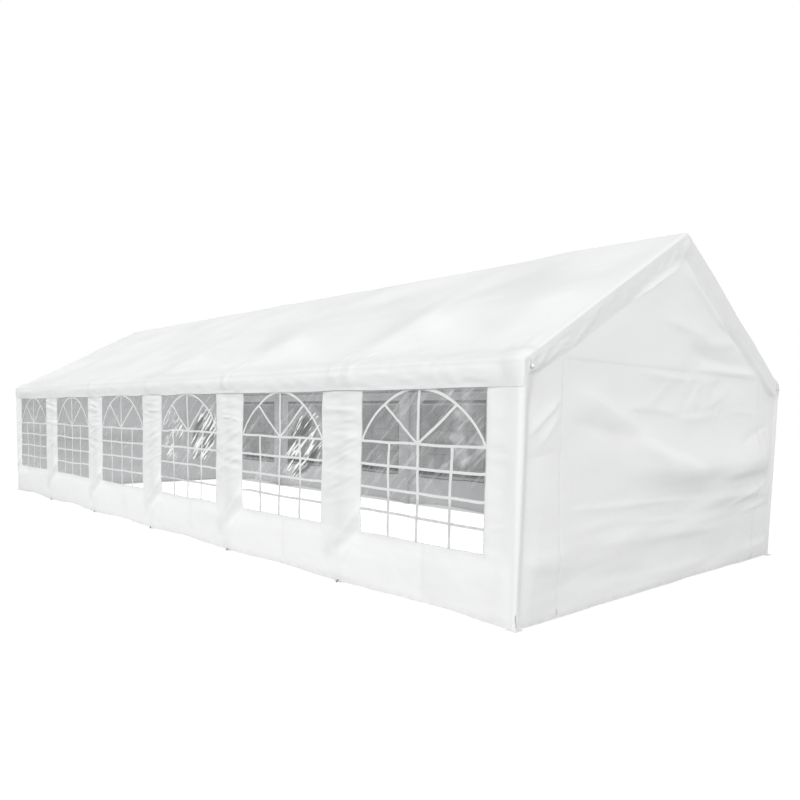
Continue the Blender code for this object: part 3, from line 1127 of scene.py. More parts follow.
    def cloth(self) -> tuple[Cloth, Array]:
        """Work out the sheet.

        A point is the core line, plus the lift and the relief along a normal that turns from the section's
        own to the gable's, less the sag, less the fall of a flap. A flap lies on its gable's wall.

        Returns:
            The sheet, and which of its cells have cloth: the valances have no flap at their ends.
        """
        row = {name: part[:, None] for name, part in self.section().items()}
        column = {name: part[None, :] for name, part in self.stations().items()}
        fall, end, length = column["fall"], column["end"], column["length"]
        drop, side, upslope = row["drop"], row["side"], row["upslope"]
        cos, sin = np.cos(column["turn"]), np.sin(column["turn"])
        x = column["x"] + 0.0 * row["y"]
        y = row["y"] + 0.0 * x
        run = upslope - drop
        level = column["turn"] == 0
        near_ridge = 1 - smooth(np.abs(y), self.tent.half_span)
        to_corner = self.tent.half_span - np.abs(y)
        flap = self.flap_at_eave + (self.flap_at_ridge - self.flap_at_eave) * near_ridge
        flap = flap + 0.05 * smooth(y, 0.3) - 0.055 * bell(to_corner, 0.12)
        flap = flap + Billow(33, (0.3, 1.0), 0.007).at(y + end * 9, 0 * y)
        lift = self.bend - self.core
        raised = self.slope_relief(length, run, upslope, side)
        raised = raised + self.valance_relief(length, drop, side)
        raised = raised * (1 - fall) * (0.3 + 0.7 * cos)
        raised = raised + self.flap_relief(y, fall, end) * (sin > 0.999)
        raised = raised + self.knuckle(length, run, fall, side)
        hang = self.hang(x, upslope, side) * level
        scale = lift + raised
        z = row["z"] + row["normal_z"] * cos * scale - row["normal_z"] * hang - fall * flap
        z = z - drop * Billow(34, (0.5, 1.0), 0.05).at(length, 0 * y)
        wall = gable_out(self.gables, end, y, z)
        out = self.end_bend + raised
        pressed = np.maximum(smooth(y * end + 0.3, 0.3), smooth(0.55 - to_corner, 0.3))
        pressed = pressed * smooth(fall - 0.70, 0.25)
        out = np.where(sin > 0.999, np.maximum(out * (1 - pressed) + wall * pressed, wall), out)
        across = y + row["normal_y"] * (cos * scale - hang)
        points = np.stack([x + end * sin * out, across, z], axis=-1)
        normal = np.broadcast_arrays(end * sin, row["normal_y"] * cos, row["normal_z"] * cos)
        falling = np.maximum(fall[:, :-1], fall[:, 1:]) > 0
        keep = ~falling | (np.maximum(drop[:-1], drop[1:]) == 0)
        return Cloth(length[0], row["length"][:, 0], points, np.stack(normal, axis=-1)), keep

    def painted_light_and_shade(self, cloth: Cloth) -> Array:
        """The cover's painted shade: more where tubes or walls lie behind it, and the slopes' own painted
        patches of shade and light.

        Args:
            cloth: the cover.

        Returns:
            The tone at each point.
        """
        tent = self.tent
        x, y, z = np.moveaxis(np.abs(cloth.points), -1, 0)
        # Painted shade where the cover lies over the eave purlin, the end rafter, the wall and the gable.
        on_eave = bell(z - tent.eave_z - 0.016, 0.034) * smooth(y - tent.half_span + 0.04, 0.03)
        on_rake = bell(x - tent.half_length - 0.020, 0.022)
        on_wall = 0.05 * smooth(tent.eave_z - z, 0.06) * (x < tent.half_length + self.end_bend * 0.5)
        on_gable = 0.25 * smooth(x - tent.half_length - self.end_bend * 0.9, 0.004)
        shown = np.maximum(np.maximum(0.7 * on_eave, 0.5 * on_rake), np.maximum(on_wall, on_gable))
        return np.where((z > tent.eave_z + 0.03) & (x < tent.half_length), self.shade(cloth), shown)

    def shade(self, cloth: Cloth) -> Array:
        """Painted shade on the slopes, in soft patches, and painted light in a wedge beside a bent's foot.

        A wedge of painted light slants down from one side of a bent to the eave, higher and stronger towards
        +X, and a darker patch of painted shade slants down to the bent from its other side. The end bay has a
        darker band of painted shade that slants up it.

        Args:
            cloth: the cover.

        Returns:
            The tone at each point.
        """
        tent = self.tent
        x, y = cloth.points[..., 0], cloth.points[..., 1]
        up = (tent.half_span - np.abs(y)) / math.cos(tent.pitch)
        offset = tent.from_bent(x)
        past = np.where(offset < 0, offset + tent.bay, offset)
        inner = (np.abs(x - past) < tent.half_length - 0.5) * (y < 0)
        foot = smooth(up - 0.08, 0.25) * (y < 0)
        bent_x = x - past
        under = smooth(0.90 + 0.17 * bent_x - up - (0.25 + 0.115 * bent_x) * past, 0.30)
        above = smooth(up - 0.45 - 0.10 * bent_x + (0.40 + 0.15 * bent_x) * past, 0.40)
        wedge = smooth(past, 0.16) * under * above * foot * inner * (0.25 + 0.75 * smooth(x + 1.2, 2.6))
        eave = 0.50 * smooth(x + 1.5, 2.5) + 0.42 * smooth(x - 3.2, 1.4)
        wedge = np.maximum(wedge, eave * foot * smooth(0.85 - up, 0.45))
        wedge = np.maximum(wedge, 0.8 * smooth(x - 5.1, 0.5) * smooth(1.5 - up, 0.5) * foot)
        along = past - tent.bay + 0.45
        rise = up - 1.0 - 0.21 * bent_x + 0.78 * along
        before = bell(along, 0.62) * bell(rise, 0.33) * (y < 0) * (x < tent.half_length - 0.5 * tent.bay)
        band = bell(x - 4.62 + 0.55 * (up - 2.1), 0.48) * bell(up - 2.1, 0.75) * (y < 0)
        # Soft random patches of painted shade and light over the slopes.
        soft = billows(41, x, up + (y > 0) * 9, ((0.75, 0.60), 0.22, 0.4), ((0.28, 0.22), 0.08))
        return np.clip(0.40 + soft - 0.74 * wedge + 0.42 * before * smooth(x + 3, 3) + 0.46 * band, -1, 1)

    def build(self) -> None:
        """Make the sheet and its hems."""
        cloth, keep = self.cloth()
        sheet = Shape()
        sheet.add_grid(cloth.points, uv=cloth.uv(), keep=keep, outward=(0, 0, 1), tone=self.painted_light_and_shade(cloth))
        cover = dress(sheet.build("roof_sheet"), self.finishes.sheet, SHEET_SLOT, "roof_cover")
        hems = Shape()
        reach = self.tent.half_length - 0.11
        for v in (self.hem / 2, cloth.v[-1] - self.hem / 2):
            cloth.add_strip(hems, line((-reach, v), (reach, v), self.cell), self.hem / 2 - 0.001, 0.0012)
        trim = dress(hems.build("roof_hems"), self.finishes.sheet, SHEET_SLOT)
        cloth.u[-1] - cloth.u[0]


@dataclass(frozen=True)
class CornerBend:
    """How the sheets go round an end leg: snug at the ground, looser upwards, and tucked in at the eave."""

    loose: float = 0.015
    tuck_z: float = 1.87

    def bulge(self, z: Array) -> Array:
        """How far the sheets stand off their planes at the corner."""
        return self.loose * smooth(z, 1.5) * (1 - smooth(z - self.tuck_z, 0.14))

    def groove(self, to_corner: Array, z: Array) -> Array:
        """How far the gable sinks beside the corner: a straight fall, then a long rise, wider further up."""
        width = 0.030 + 0.055 * z
        depth = (0.008 + 0.015 * z) * smooth(z, 0.3) * smooth(2.08 - z, 0.45)
        share = to_corner / width
        return depth * np.clip(share, 0, 1) * (1 - smooth(share - 1, 3.0))


@dataclass
class WindowWall:
    """One long wall: a sheet with six window openings that turns a corner round each end leg."""

    tent: TentSizes
    finishes: Finishes
    gables: dict[int, "GableWall"]
    side: Side
    seed: int
    plane: float = 0.0275
    strip: float = 0.05
    cell: float = 0.0185
    film_margin: float = 0.016
    bar: float = 0.0118
    row_height: float = 0.21
    arch_rise: float = 0.468

    @property
    def name(self) -> str:
        """The side's word in piece names."""
        return label(self.side)

    def columns(self) -> tuple[Array, Array]:
        """Places along the wall: the length along it, and the turn round a corner leg."""
        tent = self.tent
        half = tent.window_half_width
        edges = [x + offset for x in tent.window_xs for offset in (-half, half)]
        level = steps(-tent.half_length, *edges, tent.half_length, cell=self.cell)
        turn = np.linspace(0, QUARTER, 7)[1:]
        strip = np.linspace(0, self.strip, 4)[1:]
        after = np.concatenate([turn * self.plane, QUARTER * self.plane + strip])
        length = np.concatenate([-tent.half_length - after[::-1], level, tent.half_length + after])
        turns = np.concatenate([turn, np.full(len(strip), QUARTER)])
        return length, np.concatenate([turns[::-1], np.zeros(len(level)), turns])

    def pillar_folds(self) -> list[Fold]:
        """Wrinkles across each pillar between windows, and the gusset fold down to each leg's foot."""
        draw = np.random.default_rng(self.seed)
        tent = self.tent
        reach = tent.bay / 2 - tent.window_half_width
        folds = []
        for x in tent.bent_xs:
            for z in np.arange(0.80, 1.86, 0.075 if abs(x) < tent.half_length - 0.1 else 2.0):
                height = z + draw.uniform(-0.025, 0.025)
                tilt = draw.uniform(-0.035, 0.05) - 0.09 * float(smooth(np.array((1.60 - z) / 0.4)))
                left, right = x - reach * draw.uniform(0.6, 1.15), x + reach * draw.uniform(0.6, 1.15)
                weight = 0.45 + 0.55 * float(smooth(np.array((z - 0.8) / 0.35)))
                folds.append(Fold((left, height + tilt), (right, height - tilt),
                                  draw.uniform(0.005, 0.018) * weight, draw.uniform(0.010, 0.022),
                                  lean=draw.uniform(-0.6, 0.1), bow=draw.uniform(-0.02, 0.02),
                                  crisp=bool(draw.uniform() < 0.4)))
            if x > tent.half_length - 0.1:
                continue
            low = tent.sill_z + draw.uniform(-0.02, 0.03)
            folds.append(Fold((x + reach, low + 0.18), (x - 0.12, 0.30), 0.045, 0.085, lean=0.45, bow=-0.01))
            folds.append(Fold((x + reach * 0.9, low - 0.14), (x - 0.04, 0.06), 0.014, 0.05, lean=0.2))
            folds.append(Fold((x + reach * 0.8, 1.40), (x - reach, 1.17), 0.016, 0.035, lean=0.5))
            folds.append(Fold((x + reach, 1.16), (x - reach * 0.6, 0.86), 0.014, 0.05, lean=0.4))
            folds.append(Fold((x + reach + 0.05, low - 0.03), (x + reach + 0.42, low - 0.07), -0.007, 0.03))
        return folds

    def raised(self, u: Array, z: Array) -> Array:
        """Height of the wall's relief: pillar wrinkles, the skirt's swells and the pull of the eave.

        Args:
            u: along the wall.
            z: above the ground.

        Returns:
            Height outwards, near 0 at the eave.
        """
        tent = self.tent
        along = u + self.seed * 7.0
        offset = tent.from_bent(u)
        pillar = smooth(tent.bay / 2 - tent.window_half_width + 0.07 - np.abs(offset), 0.14)
        skirt = smooth(tent.sill_z + 0.02 - z, 0.16)
        wide = billows(self.seed + 1, along, z, ((0.8, 0.34), 0.010, 0.15), ((0.3, 0.2), 0.004, 0.5))
        wrinkles = billows(self.seed + 3, along, z,
                           ((0.42, 0.062), 0.0062, -0.10), ((0.17, 0.030), 0.0022, 0.12))
        fine = billows(self.seed + 5, along, z, ((0.12, 0.09), 0.0014), ((0.07, 0.05), 0.0007))
        belly = 0.012 * skirt * np.sin(math.pi * np.clip(z / tent.sill_z, 0, 1))
        upper = smooth(z - 0.75, 0.3) * (0.2 + 0.8 * smooth(tent.half_length - 0.3 - np.abs(u), 0.2))
        total = wide * (0.35 + 0.65 * skirt) + wrinkles * pillar * (0.3 + 0.7 * upper) + fine + belly
        total = total + relief(self.pillar_folds(), u, z) * np.maximum(pillar, skirt)
        total = np.where(total < 0, total * (1 - 0.8 * bell(offset, 0.03)), total)
        tucked = smooth(tent.window_top_z + 0.03 - z, 0.12)
        corner = smooth(tent.half_length - np.abs(u), 0.12)
        return np.maximum(total, -0.02) * (0.15 + 0.85 * tucked) * corner - 0.0015 * (1 - tucked)

    def corner_out(self, u: Array, z: Array, turn: Array) -> Array:
        """How far out the sheet lies: from the leg's axis in the bend, and from the span elsewhere.

        Args:
            u: along the wall.
            z: above the ground.
            turn: round the corner leg, 0 on the wall and a quarter turn on the gable.

        Returns:
            The wall's relief and the corner's bulge, which meet the gable's surface over the quarter turn.
        """
        to_leg = np.clip(self.tent.half_length - np.abs(u), 0, None)
        front = self.plane + self.raised(u, z) + CornerBend().bulge(z) * bell(to_leg, 0.10)
        span = np.full(u.shape, self.side.value * self.tent.half_span)
        share = turn / QUARTER
        return front * (1 - share) + gable_out(self.gables, u, span, z) * share

    def hem_rise(self, u: Array) -> Array:
        """How far the lower edge lifts between the feet: a squared sine over each bay, deeper in some."""
        tent = self.tent
        wave = np.sin(math.pi * (u + tent.half_length) / tent.bay) ** 2
        ripple = Billow(self.seed + 8, (0.3, 1.0), 0.005).at(u, 0 * u)
        lift = 0.014 if self.side is Side.FRONT else 0.038
        return wave * (lift + ripple + Billow(self.seed + 7, (2.0, 1.0), 0.008).at(u, 0 * u))

    def cloth(self) -> Cloth:
        """Work out the sheet: the wall's plane, rounded about the end legs, with the relief outwards."""
        tent = self.tent
        length, turn = self.columns()
        z = steps(tent.hem_z, tent.sill_z, tent.window_top_z, tent.eave_z - 0.004, cell=self.cell)
        u, height = np.meshgrid(length, z)
        turn = turn[None, :]
        sign = np.sign(u)
        beyond = np.clip(np.abs(u) - tent.half_length - QUARTER * self.plane, 0, None)
        out = self.corner_out(u, height, turn)
        rise = self.hem_rise(np.clip(u, -tent.half_length, tent.half_length))
        pull = smooth(tent.half_length - np.abs(u), 0.4) * smooth(tent.eave_z - 0.1 - height, 0.2)
        along = u + self.seed * 3.0
        slide = billows(self.seed + 11, along, height, ((0.5, 0.45), 0.011), ((0.2, 0.2), 0.003))
        lift = billows(self.seed + 13, along, height, ((0.55, 0.4), 0.010), ((0.22, 0.2), 0.003))
        above = smooth(height - tent.hem_z, 0.3)
        lifted = height + rise * (1 - above) + lift * pull * above
        across = self.side.value
        x = np.clip(u, -tent.half_length, tent.half_length) + sign * np.sin(turn) * out + slide * pull
        y = across * (tent.half_span + np.cos(turn) * out - beyond)
        x = np.where(beyond > 0, sign * (tent.half_length + gable_out(self.gables, u, y, height)), x)
        normal = np.stack(np.broadcast_arrays(sign * np.sin(turn), across * np.cos(turn), 0.0 * u), -1)
        return Cloth(length, z, np.stack([x, y, lifted], axis=-1), normal)

    def build(self) -> None:
        """Make the wall with its trim, and the six films with their bars."""
        tent = self.tent
        cloth = self.cloth()
        middle_u = (cloth.u[:-1] + cloth.u[1:]) / 2
        middle_z = (cloth.v[:-1] + cloth.v[1:]) / 2
        to_window = np.min(np.abs(middle_u[:, None] - np.array(tent.window_xs)), axis=1)
        in_window = (to_window < tent.window_half_width)[None, :]
        in_window = in_window & ((middle_z > tent.sill_z) & (middle_z < tent.window_top_z))[:, None]
        sheet = Shape()
        outward = (0, self.side.value, 0)
        keep = ~in_window & ~self.parted(middle_u, middle_z)
        sheet.add_grid(cloth.points, uv=cloth.uv(), keep=keep, outward=outward, tone=self.painted_light_and_shade(cloth))
        name, finish = f"{self.name}_wall", self.finishes.sheet
        wall = dress(sheet.build(f"{name}_sheet"), finish, SHEET_SLOT, name)
        trim = dress(self.trim(cloth).build(f"{name}_trim"), finish, SHEET_SLOT)
        height = cloth.v[-1] - cloth.v[0]
        opening = 2 * tent.window_half_width * (tent.window_top_z - tent.sill_z)
        area = (cloth.u[-1] - cloth.u[0]) * height - opening * len(tent.window_xs)
        cloth.u[-1] - cloth.u[0]
        f"eave_purlin_{self.name}"
        f"leg_{self.name}_1"
        for number, x in enumerate(tent.window_xs, start=1):
            self.build_window(cloth, number, x)

    def painted_light_and_shade(self, cloth: Cloth) -> Array:
        """Painted shade on the sheet: at the pillars, the gusset folds and the end bay's seam.

        A gusset fold runs for 0.56 m from a point 0.10 m before a leg, 0.30 m up, and slants at 40 degrees.
        It is painted dark on its upper side and light below, as painted shade and painted light.

        Args:
            cloth: the wall.

        Returns:
            The tone at each point.
        """
        u, z = np.meshgrid(cloth.u, cloth.v)
        tent = self.tent
        across = tent.from_bent(u)
        offset = np.abs(across)
        inner = np.abs(u) < tent.half_length - 0.5
        # Painted shade on the pillars between the windows.
        pillar = smooth(0.34 - offset, 0.10) * (0.55 + 0.25 * smooth(0.12 - offset, 0.1))
        run = (across + 0.10) * 0.767 + (z - 0.30) * 0.642
        off = (z - 0.30) * 0.767 - (across + 0.10) * 0.642
        reach = smooth(run, 0.14) * smooth(0.60 - run, 0.10)
        # The gusset fold's painted shade above its crest and painted light below it.
        gusset = reach * (0.95 * bell(off, 0.042) - 0.55 * bell(off + 0.085, 0.040))
        past = u - tent.window_xs[-1] - 0.09
        seam = 0.45 * (past > 0) * smooth(0.55 - past, 0.5) * smooth(tent.sill_z - z, 0.05)
        return (pillar * smooth(z - 0.30, 0.35) + gusset) * inner + seam * (u < tent.half_length - 0.3)

    def parted(self, u: Array, z: Array) -> Array:
        """The cells of the narrow gap that opens beside each end leg's foot, where the sheets part."""
        middle = self.tent.half_length + 0.62 * QUARTER * self.plane
        off = np.abs(np.abs(u) - middle)[None, :]
        return off < (0.011 * (0.13 - z) / 0.13)[:, None]

    def trim(self, cloth: Cloth) -> Shape:
        """Doubled bands: round each window, along the lower edge, and over the sheet's joints.

        Args:
            cloth: the wall.

        Returns:
            The bands.
        """
        tent = self.tent
        made = Shape()
        half, band = tent.window_half_width, 0.011
        for x in tent.window_xs:
            left, right = x - half - band, x + half + band
            low, high = tent.sill_z - band, tent.window_top_z + band
            sides = (((left, low), (right, low)), ((right, low), (right, high)), ((left, low), (left, high)))
            for start, end in sides:
                cloth.add_strip(made, line(start, end, self.cell), band, 0.0009)
        hem = cloth.v[0] + 0.022
        reach = tent.half_length
        cloth.add_strip(made, line((-reach, hem), (reach, hem), self.cell), 0.021, 0.001)
        for x in tent.window_xs[1:]:
            seam = x + 0.09
            cloth.add_strip(made, line((seam, cloth.v[0] + 0.045), (seam, tent.sill_z - 0.023)), 0.012, 0.001)
        return made

    def glare_zone(self, number: int, dx: Array, z: Array) -> Array:
        """Painted glare on a front window's creases, in soft blobs, and a back window's painted shade.

        Args:
            number: of the window, 1 at -X.
            dx: from the window's middle.
            z: above the ground.

        Returns:
            0 to 1, or down to -1 along a back window's sill and a little above 0 at its top.
        """
        # Blobs of painted glare on each front window: middle across, height, width, spread in height and
        # strength.
        blobs = {
            4: ((0.38, 1.31, 0.27, 0.31, 1.0), (-0.36, 1.28, 0.26, 0.32, 0.56),
                (-0.55, 1.52, 0.12, 0.14, 0.58)),
            5: ((0.41, 1.29, 0.27, 0.31, 1.0), (-0.10, 1.05, 0.5, 0.4, 0.2)),
            6: ((0.40, 1.50, 0.45, 0.50, 0.30), (0.0, 0.95, 0.5, 0.3, 0.2)),
        }
        if self.side is Side.BACK:
            # Painted shade over the whole back film, darkest along its sill.
            back_shade = np.minimum(-0.9 * bell(z - self.tent.sill_z - 0.095, 0.066, 4), -0.42)
            # Painted light: the back film is cloudier near its top.
            return back_shade + 0.70 * smooth(z - self.tent.window_top_z + 0.065, 0.02)
        zone = np.zeros(dx.shape)
        for middle, height, wide, tall, strength in blobs.get(number, ()):
            blob = bell(dx - middle - 0.35 * (z - height), wide) * bell(z - height, tall)
            zone = np.maximum(zone, strength * smooth(blob * 1.6))
        return zone

    def build_window(self, cloth: Cloth, number: int, x: float) -> None:
        """Make one film and the bars printed on it.

        Args:
            cloth: the wall that the film is welded behind.
            number: of the window, 1 at -X.
            x: the window's middle.
        """
        tent = self.tent
        half, margin = tent.window_half_width, self.film_margin
        u = steps(x - half - margin, x - half, x + half, x + half + margin, cell=self.cell)
        low, high = tent.sill_z, tent.window_top_z
        v = steps(low - margin, low, high, high + margin, cell=self.cell)
        grid_u, grid_v = np.meshgrid(u, v)
        inside = smooth(half - np.abs(grid_u - x), 0.12)
        inside = inside * smooth(grid_v - low, 0.12) * smooth(high - grid_v, 0.12)
        seed = self.seed + 40 + number
        ripple = relief([Billow(seed, (0.06, 0.55), 0.0035, -0.62), Billow(seed + 20, (0.5, 0.4), 0.007),
                         Billow(seed + 40, (0.16, 0.5), 0.004, -0.4)], grid_u, grid_v)
        zone = self.glare_zone(number, grid_u - x, grid_v)
        base = cloth.on(grid_u, grid_v, -0.0015)
        out = cloth.outward[0, len(cloth.u) // 2]
        points = base + out * (ripple * inside * (0.6 + np.abs(zone)))[..., None]
        outward = np.broadcast_to(np.array([0.0, self.side.value, 0.0]), points.shape)
        film = Cloth(u, v, points, outward)
        sheet = Shape()
        sheet.add_grid(points, uv=film.uv(), outward=(0, self.side.value, 0), tone=zone)
        name = f"window_{self.name}_{number}"
        pane = dress(sheet.build(f"film_{self.name}_{number}"), self.finishes.film, FILM_SLOT, name)
        bars = self.bars(film, x, number).build(f"bars_{self.name}_{number}")
        dress(bars, self.finishes.bar, SHEET_SLOT)
        f"{self.name}_wall_sheet"

    def wavy(self, path: Array, seed: int) -> Array:
        """A path pushed off its line by a few millimetres, as a slack film pushes it, but not at its ends.

        Args:
            path: in the sheet's parameters, n by 2.
            seed: of the random draws.

        Returns:
            The path, n by 2.
        """
        swells = (Billow(self.seed + seed + number, (0.22, 0.22), 0.0045) for number in (0, 1))
        push = np.stack([swell.at(path[:, 0], path[:, 1]) for swell in swells], axis=-1)
        place = np.arange(len(path))
        return path + push * smooth(np.minimum(place, place[::-1]), 4)[:, None]

    def bars(self, film: Cloth, x: float, number: int) -> Shape:
        """The printed bars: four level, three upright, an arch and two spokes, and the weld round them.

        The arch's height over the springing is its rise times (1 - s squared) ** 0.78, s from -1 to 1. The
        bars are painted greyer, as painted shade, where the bright floor shows behind them, which is lower in
        the farther windows.

        Args:
            film: the window's film.
            x: the window's middle.
            number: of the window, 1 at -X.

        Returns:
            The bars.
        """
        tent = self.tent
        made = Shape()
        half = tent.window_half_width
        springing = tent.sill_z + 4 * self.row_height
        # Painted shade: on the front the bars are painted greyer below these heights, where the bright floor
        # shows behind.
        grey_z = {4: 0.83, 5: 0.90, 6: 0.89}.get(number, 0.0)

        def tone(points: Array) -> Array:
            """On the front 1 below the grey limit and 0 above it, and on the back -1."""
            if self.side is Side.BACK:
                return np.full(points.shape[:2], -1.0)
            return smooth(grey_z + 0.015 - points[..., 2], 0.03)

        def add(path: Array, lift: float, seed: int, wider: float = 1.0) -> None:
            """Add one bar."""
            film.add_strip(made, self.wavy(path, 60 + number * 7 + seed), self.bar * wider, lift, tone=tone)

        for row in range(1, 5):
            z = tent.sill_z + row * self.row_height
            add(line((x - half, z), (x + half, z)), 0.0006, 0)
        add(line((x, tent.sill_z), (x, springing + self.arch_rise)), 0.0009, 2, 1.2)
        for offset in (-half / 2, half / 2):
            add(line((x + offset, tent.sill_z), (x + offset, springing)), 0.0009, 2, 1.2)
        s = np.sin(np.linspace(-QUARTER, QUARTER, 90))
        arch = np.column_stack([x + s * (half - self.bar), springing + self.arch_rise * (1 - s ** 2) ** 0.78])
        add(arch, 0.0012, 4)
        for way in (-1, 1):
            add(line((x, springing), (x + way * 0.41, springing + 0.335)), 0.0015, 6)
        # The weld strips round the film: painted grey on the front, as the painted shadow along the weld, and
        # thin enough to see through on the back.
        edge = 0.004
        corners = [(x - half + edge, tent.window_top_z), (x - half + edge, tent.sill_z + edge),
                   (x + half - edge, tent.sill_z + edge), (x + half - edge, tent.window_top_z)]
        for start, end in zip(corners, corners[1:]):
            film.add_strip(made, line(start, end), edge * 0.8, 0.0004,
                           tone=lambda points: np.full(points.shape[:2], -float(self.side.value)))
        return made


# The large folds of the near gable, in y from the front and z above the ground.
GABLE_FOLDS = (
    Fold((-1.70, 1.80), (-0.20, 1.16), 0.040, 0.12, lean=0.35, bow=0.06),
    Fold((-1.75, 1.56), (-0.8, 1.40), -0.016, 0.09),
    Fold((-1.0, 1.17), (2.42, 1.22), 0.080, 0.25, lean=-0.25, bow=-0.05),
    Fold((1.0, 1.02), (2.45, 1.10), 0.034, 0.12, lean=-0.3),
    Fold((-2.1, 0.87), (0.6, 0.82), 0.012, 0.022, lean=0.5, crisp=True),
    Fold((-1.1, 0.70), (0.4, 0.62), 0.009, 0.03, lean=0.3, crisp=True),
    Fold((0.6, 0.79), (2.45, 0.80), 0.030, 0.12, lean=-0.35),
    Fold((1.1, 0.66), (2.35, 0.92), 0.014, 0.03, lean=0.3, crisp=True),
    Fold((1.5, 0.58), (2.4, 0.70), 0.012, 0.02, lean=0.3, crisp=True),
    Fold((-1.6, 0.55), (1.2, 0.47), 0.020, 0.10, lean=-0.3),
    Fold((1.2, 0.10), (2.45, 0.17), 0.018, 0.15),
    Fold((-2.45, 0.50), (-1.9, 0.42), 0.026, 0.14, lean=-0.3),
    Fold((0.15, 2.27), (1.65, 2.20), -0.032, 0.11, bow=-0.05),
    Fold((-0.35, 2.52), (0.55, 2.42), 0.022, 0.08, lean=-0.4),
    Fold((0.0, 2.42), (1.4, 2.44), 0.022, 0.09, bow=-0.06),
    Fold((0.35, 2.12), (1.85, 2.11), 0.026, 0.05, lean=0.2),
    Fold((-0.05, 3.02), (1.05, 2.50), 0.024, 0.12, lean=-0.5),
    Fold((0.8, 2.56), (1.35, 2.40), -0.018, 0.05),
    Fold((-0.85, 2.04), (0.5, 2.01), 0.011, 0.035, lean=0.4, bow=-0.03),
    Fold((-1.05, 1.69), (0.0, 1.64), 0.012, 0.045, lean=-0.4, bow=0.02),
    Fold((-0.1, 1.63), (0.75, 1.68), 0.010, 0.040, lean=0.4, bow=-0.03),
    Fold((0.05, 1.62), (0.62, 2.06), 0.008, 0.055, lean=0.3, bow=0.04),
    Fold((0.40, 1.72), (1.15, 1.94), 0.008, 0.050, bow=-0.04),
    Fold((-0.70, 1.70), (-0.20, 1.98), 0.006, 0.050, lean=0.4),
    Fold((1.1, 1.69), (2.0, 1.65), 0.008, 0.030, lean=0.3, bow=0.03),
    Fold((1.45, 1.34), (2.40, 1.54), -0.018, 0.06, bow=0.03),
    Fold((1.9, 1.46), (2.35, 1.50), 0.010, 0.02, crisp=True),
    Fold((-2.38, 1.46), (-2.02, 1.74), 0.026, 0.028, lean=-0.2, crisp=True),
    Fold((-2.24, 1.40), (-2.03, 1.62), 0.014, 0.03),
    Fold((-2.36, 1.28), (-2.05, 1.34), -0.008, 0.04),
    Fold((-1.9, 0.30), (-0.4, 0.20), -0.014, 0.09),
    Fold((-0.6, 0.15), (0.9, 0.12), 0.012, 0.07),
)


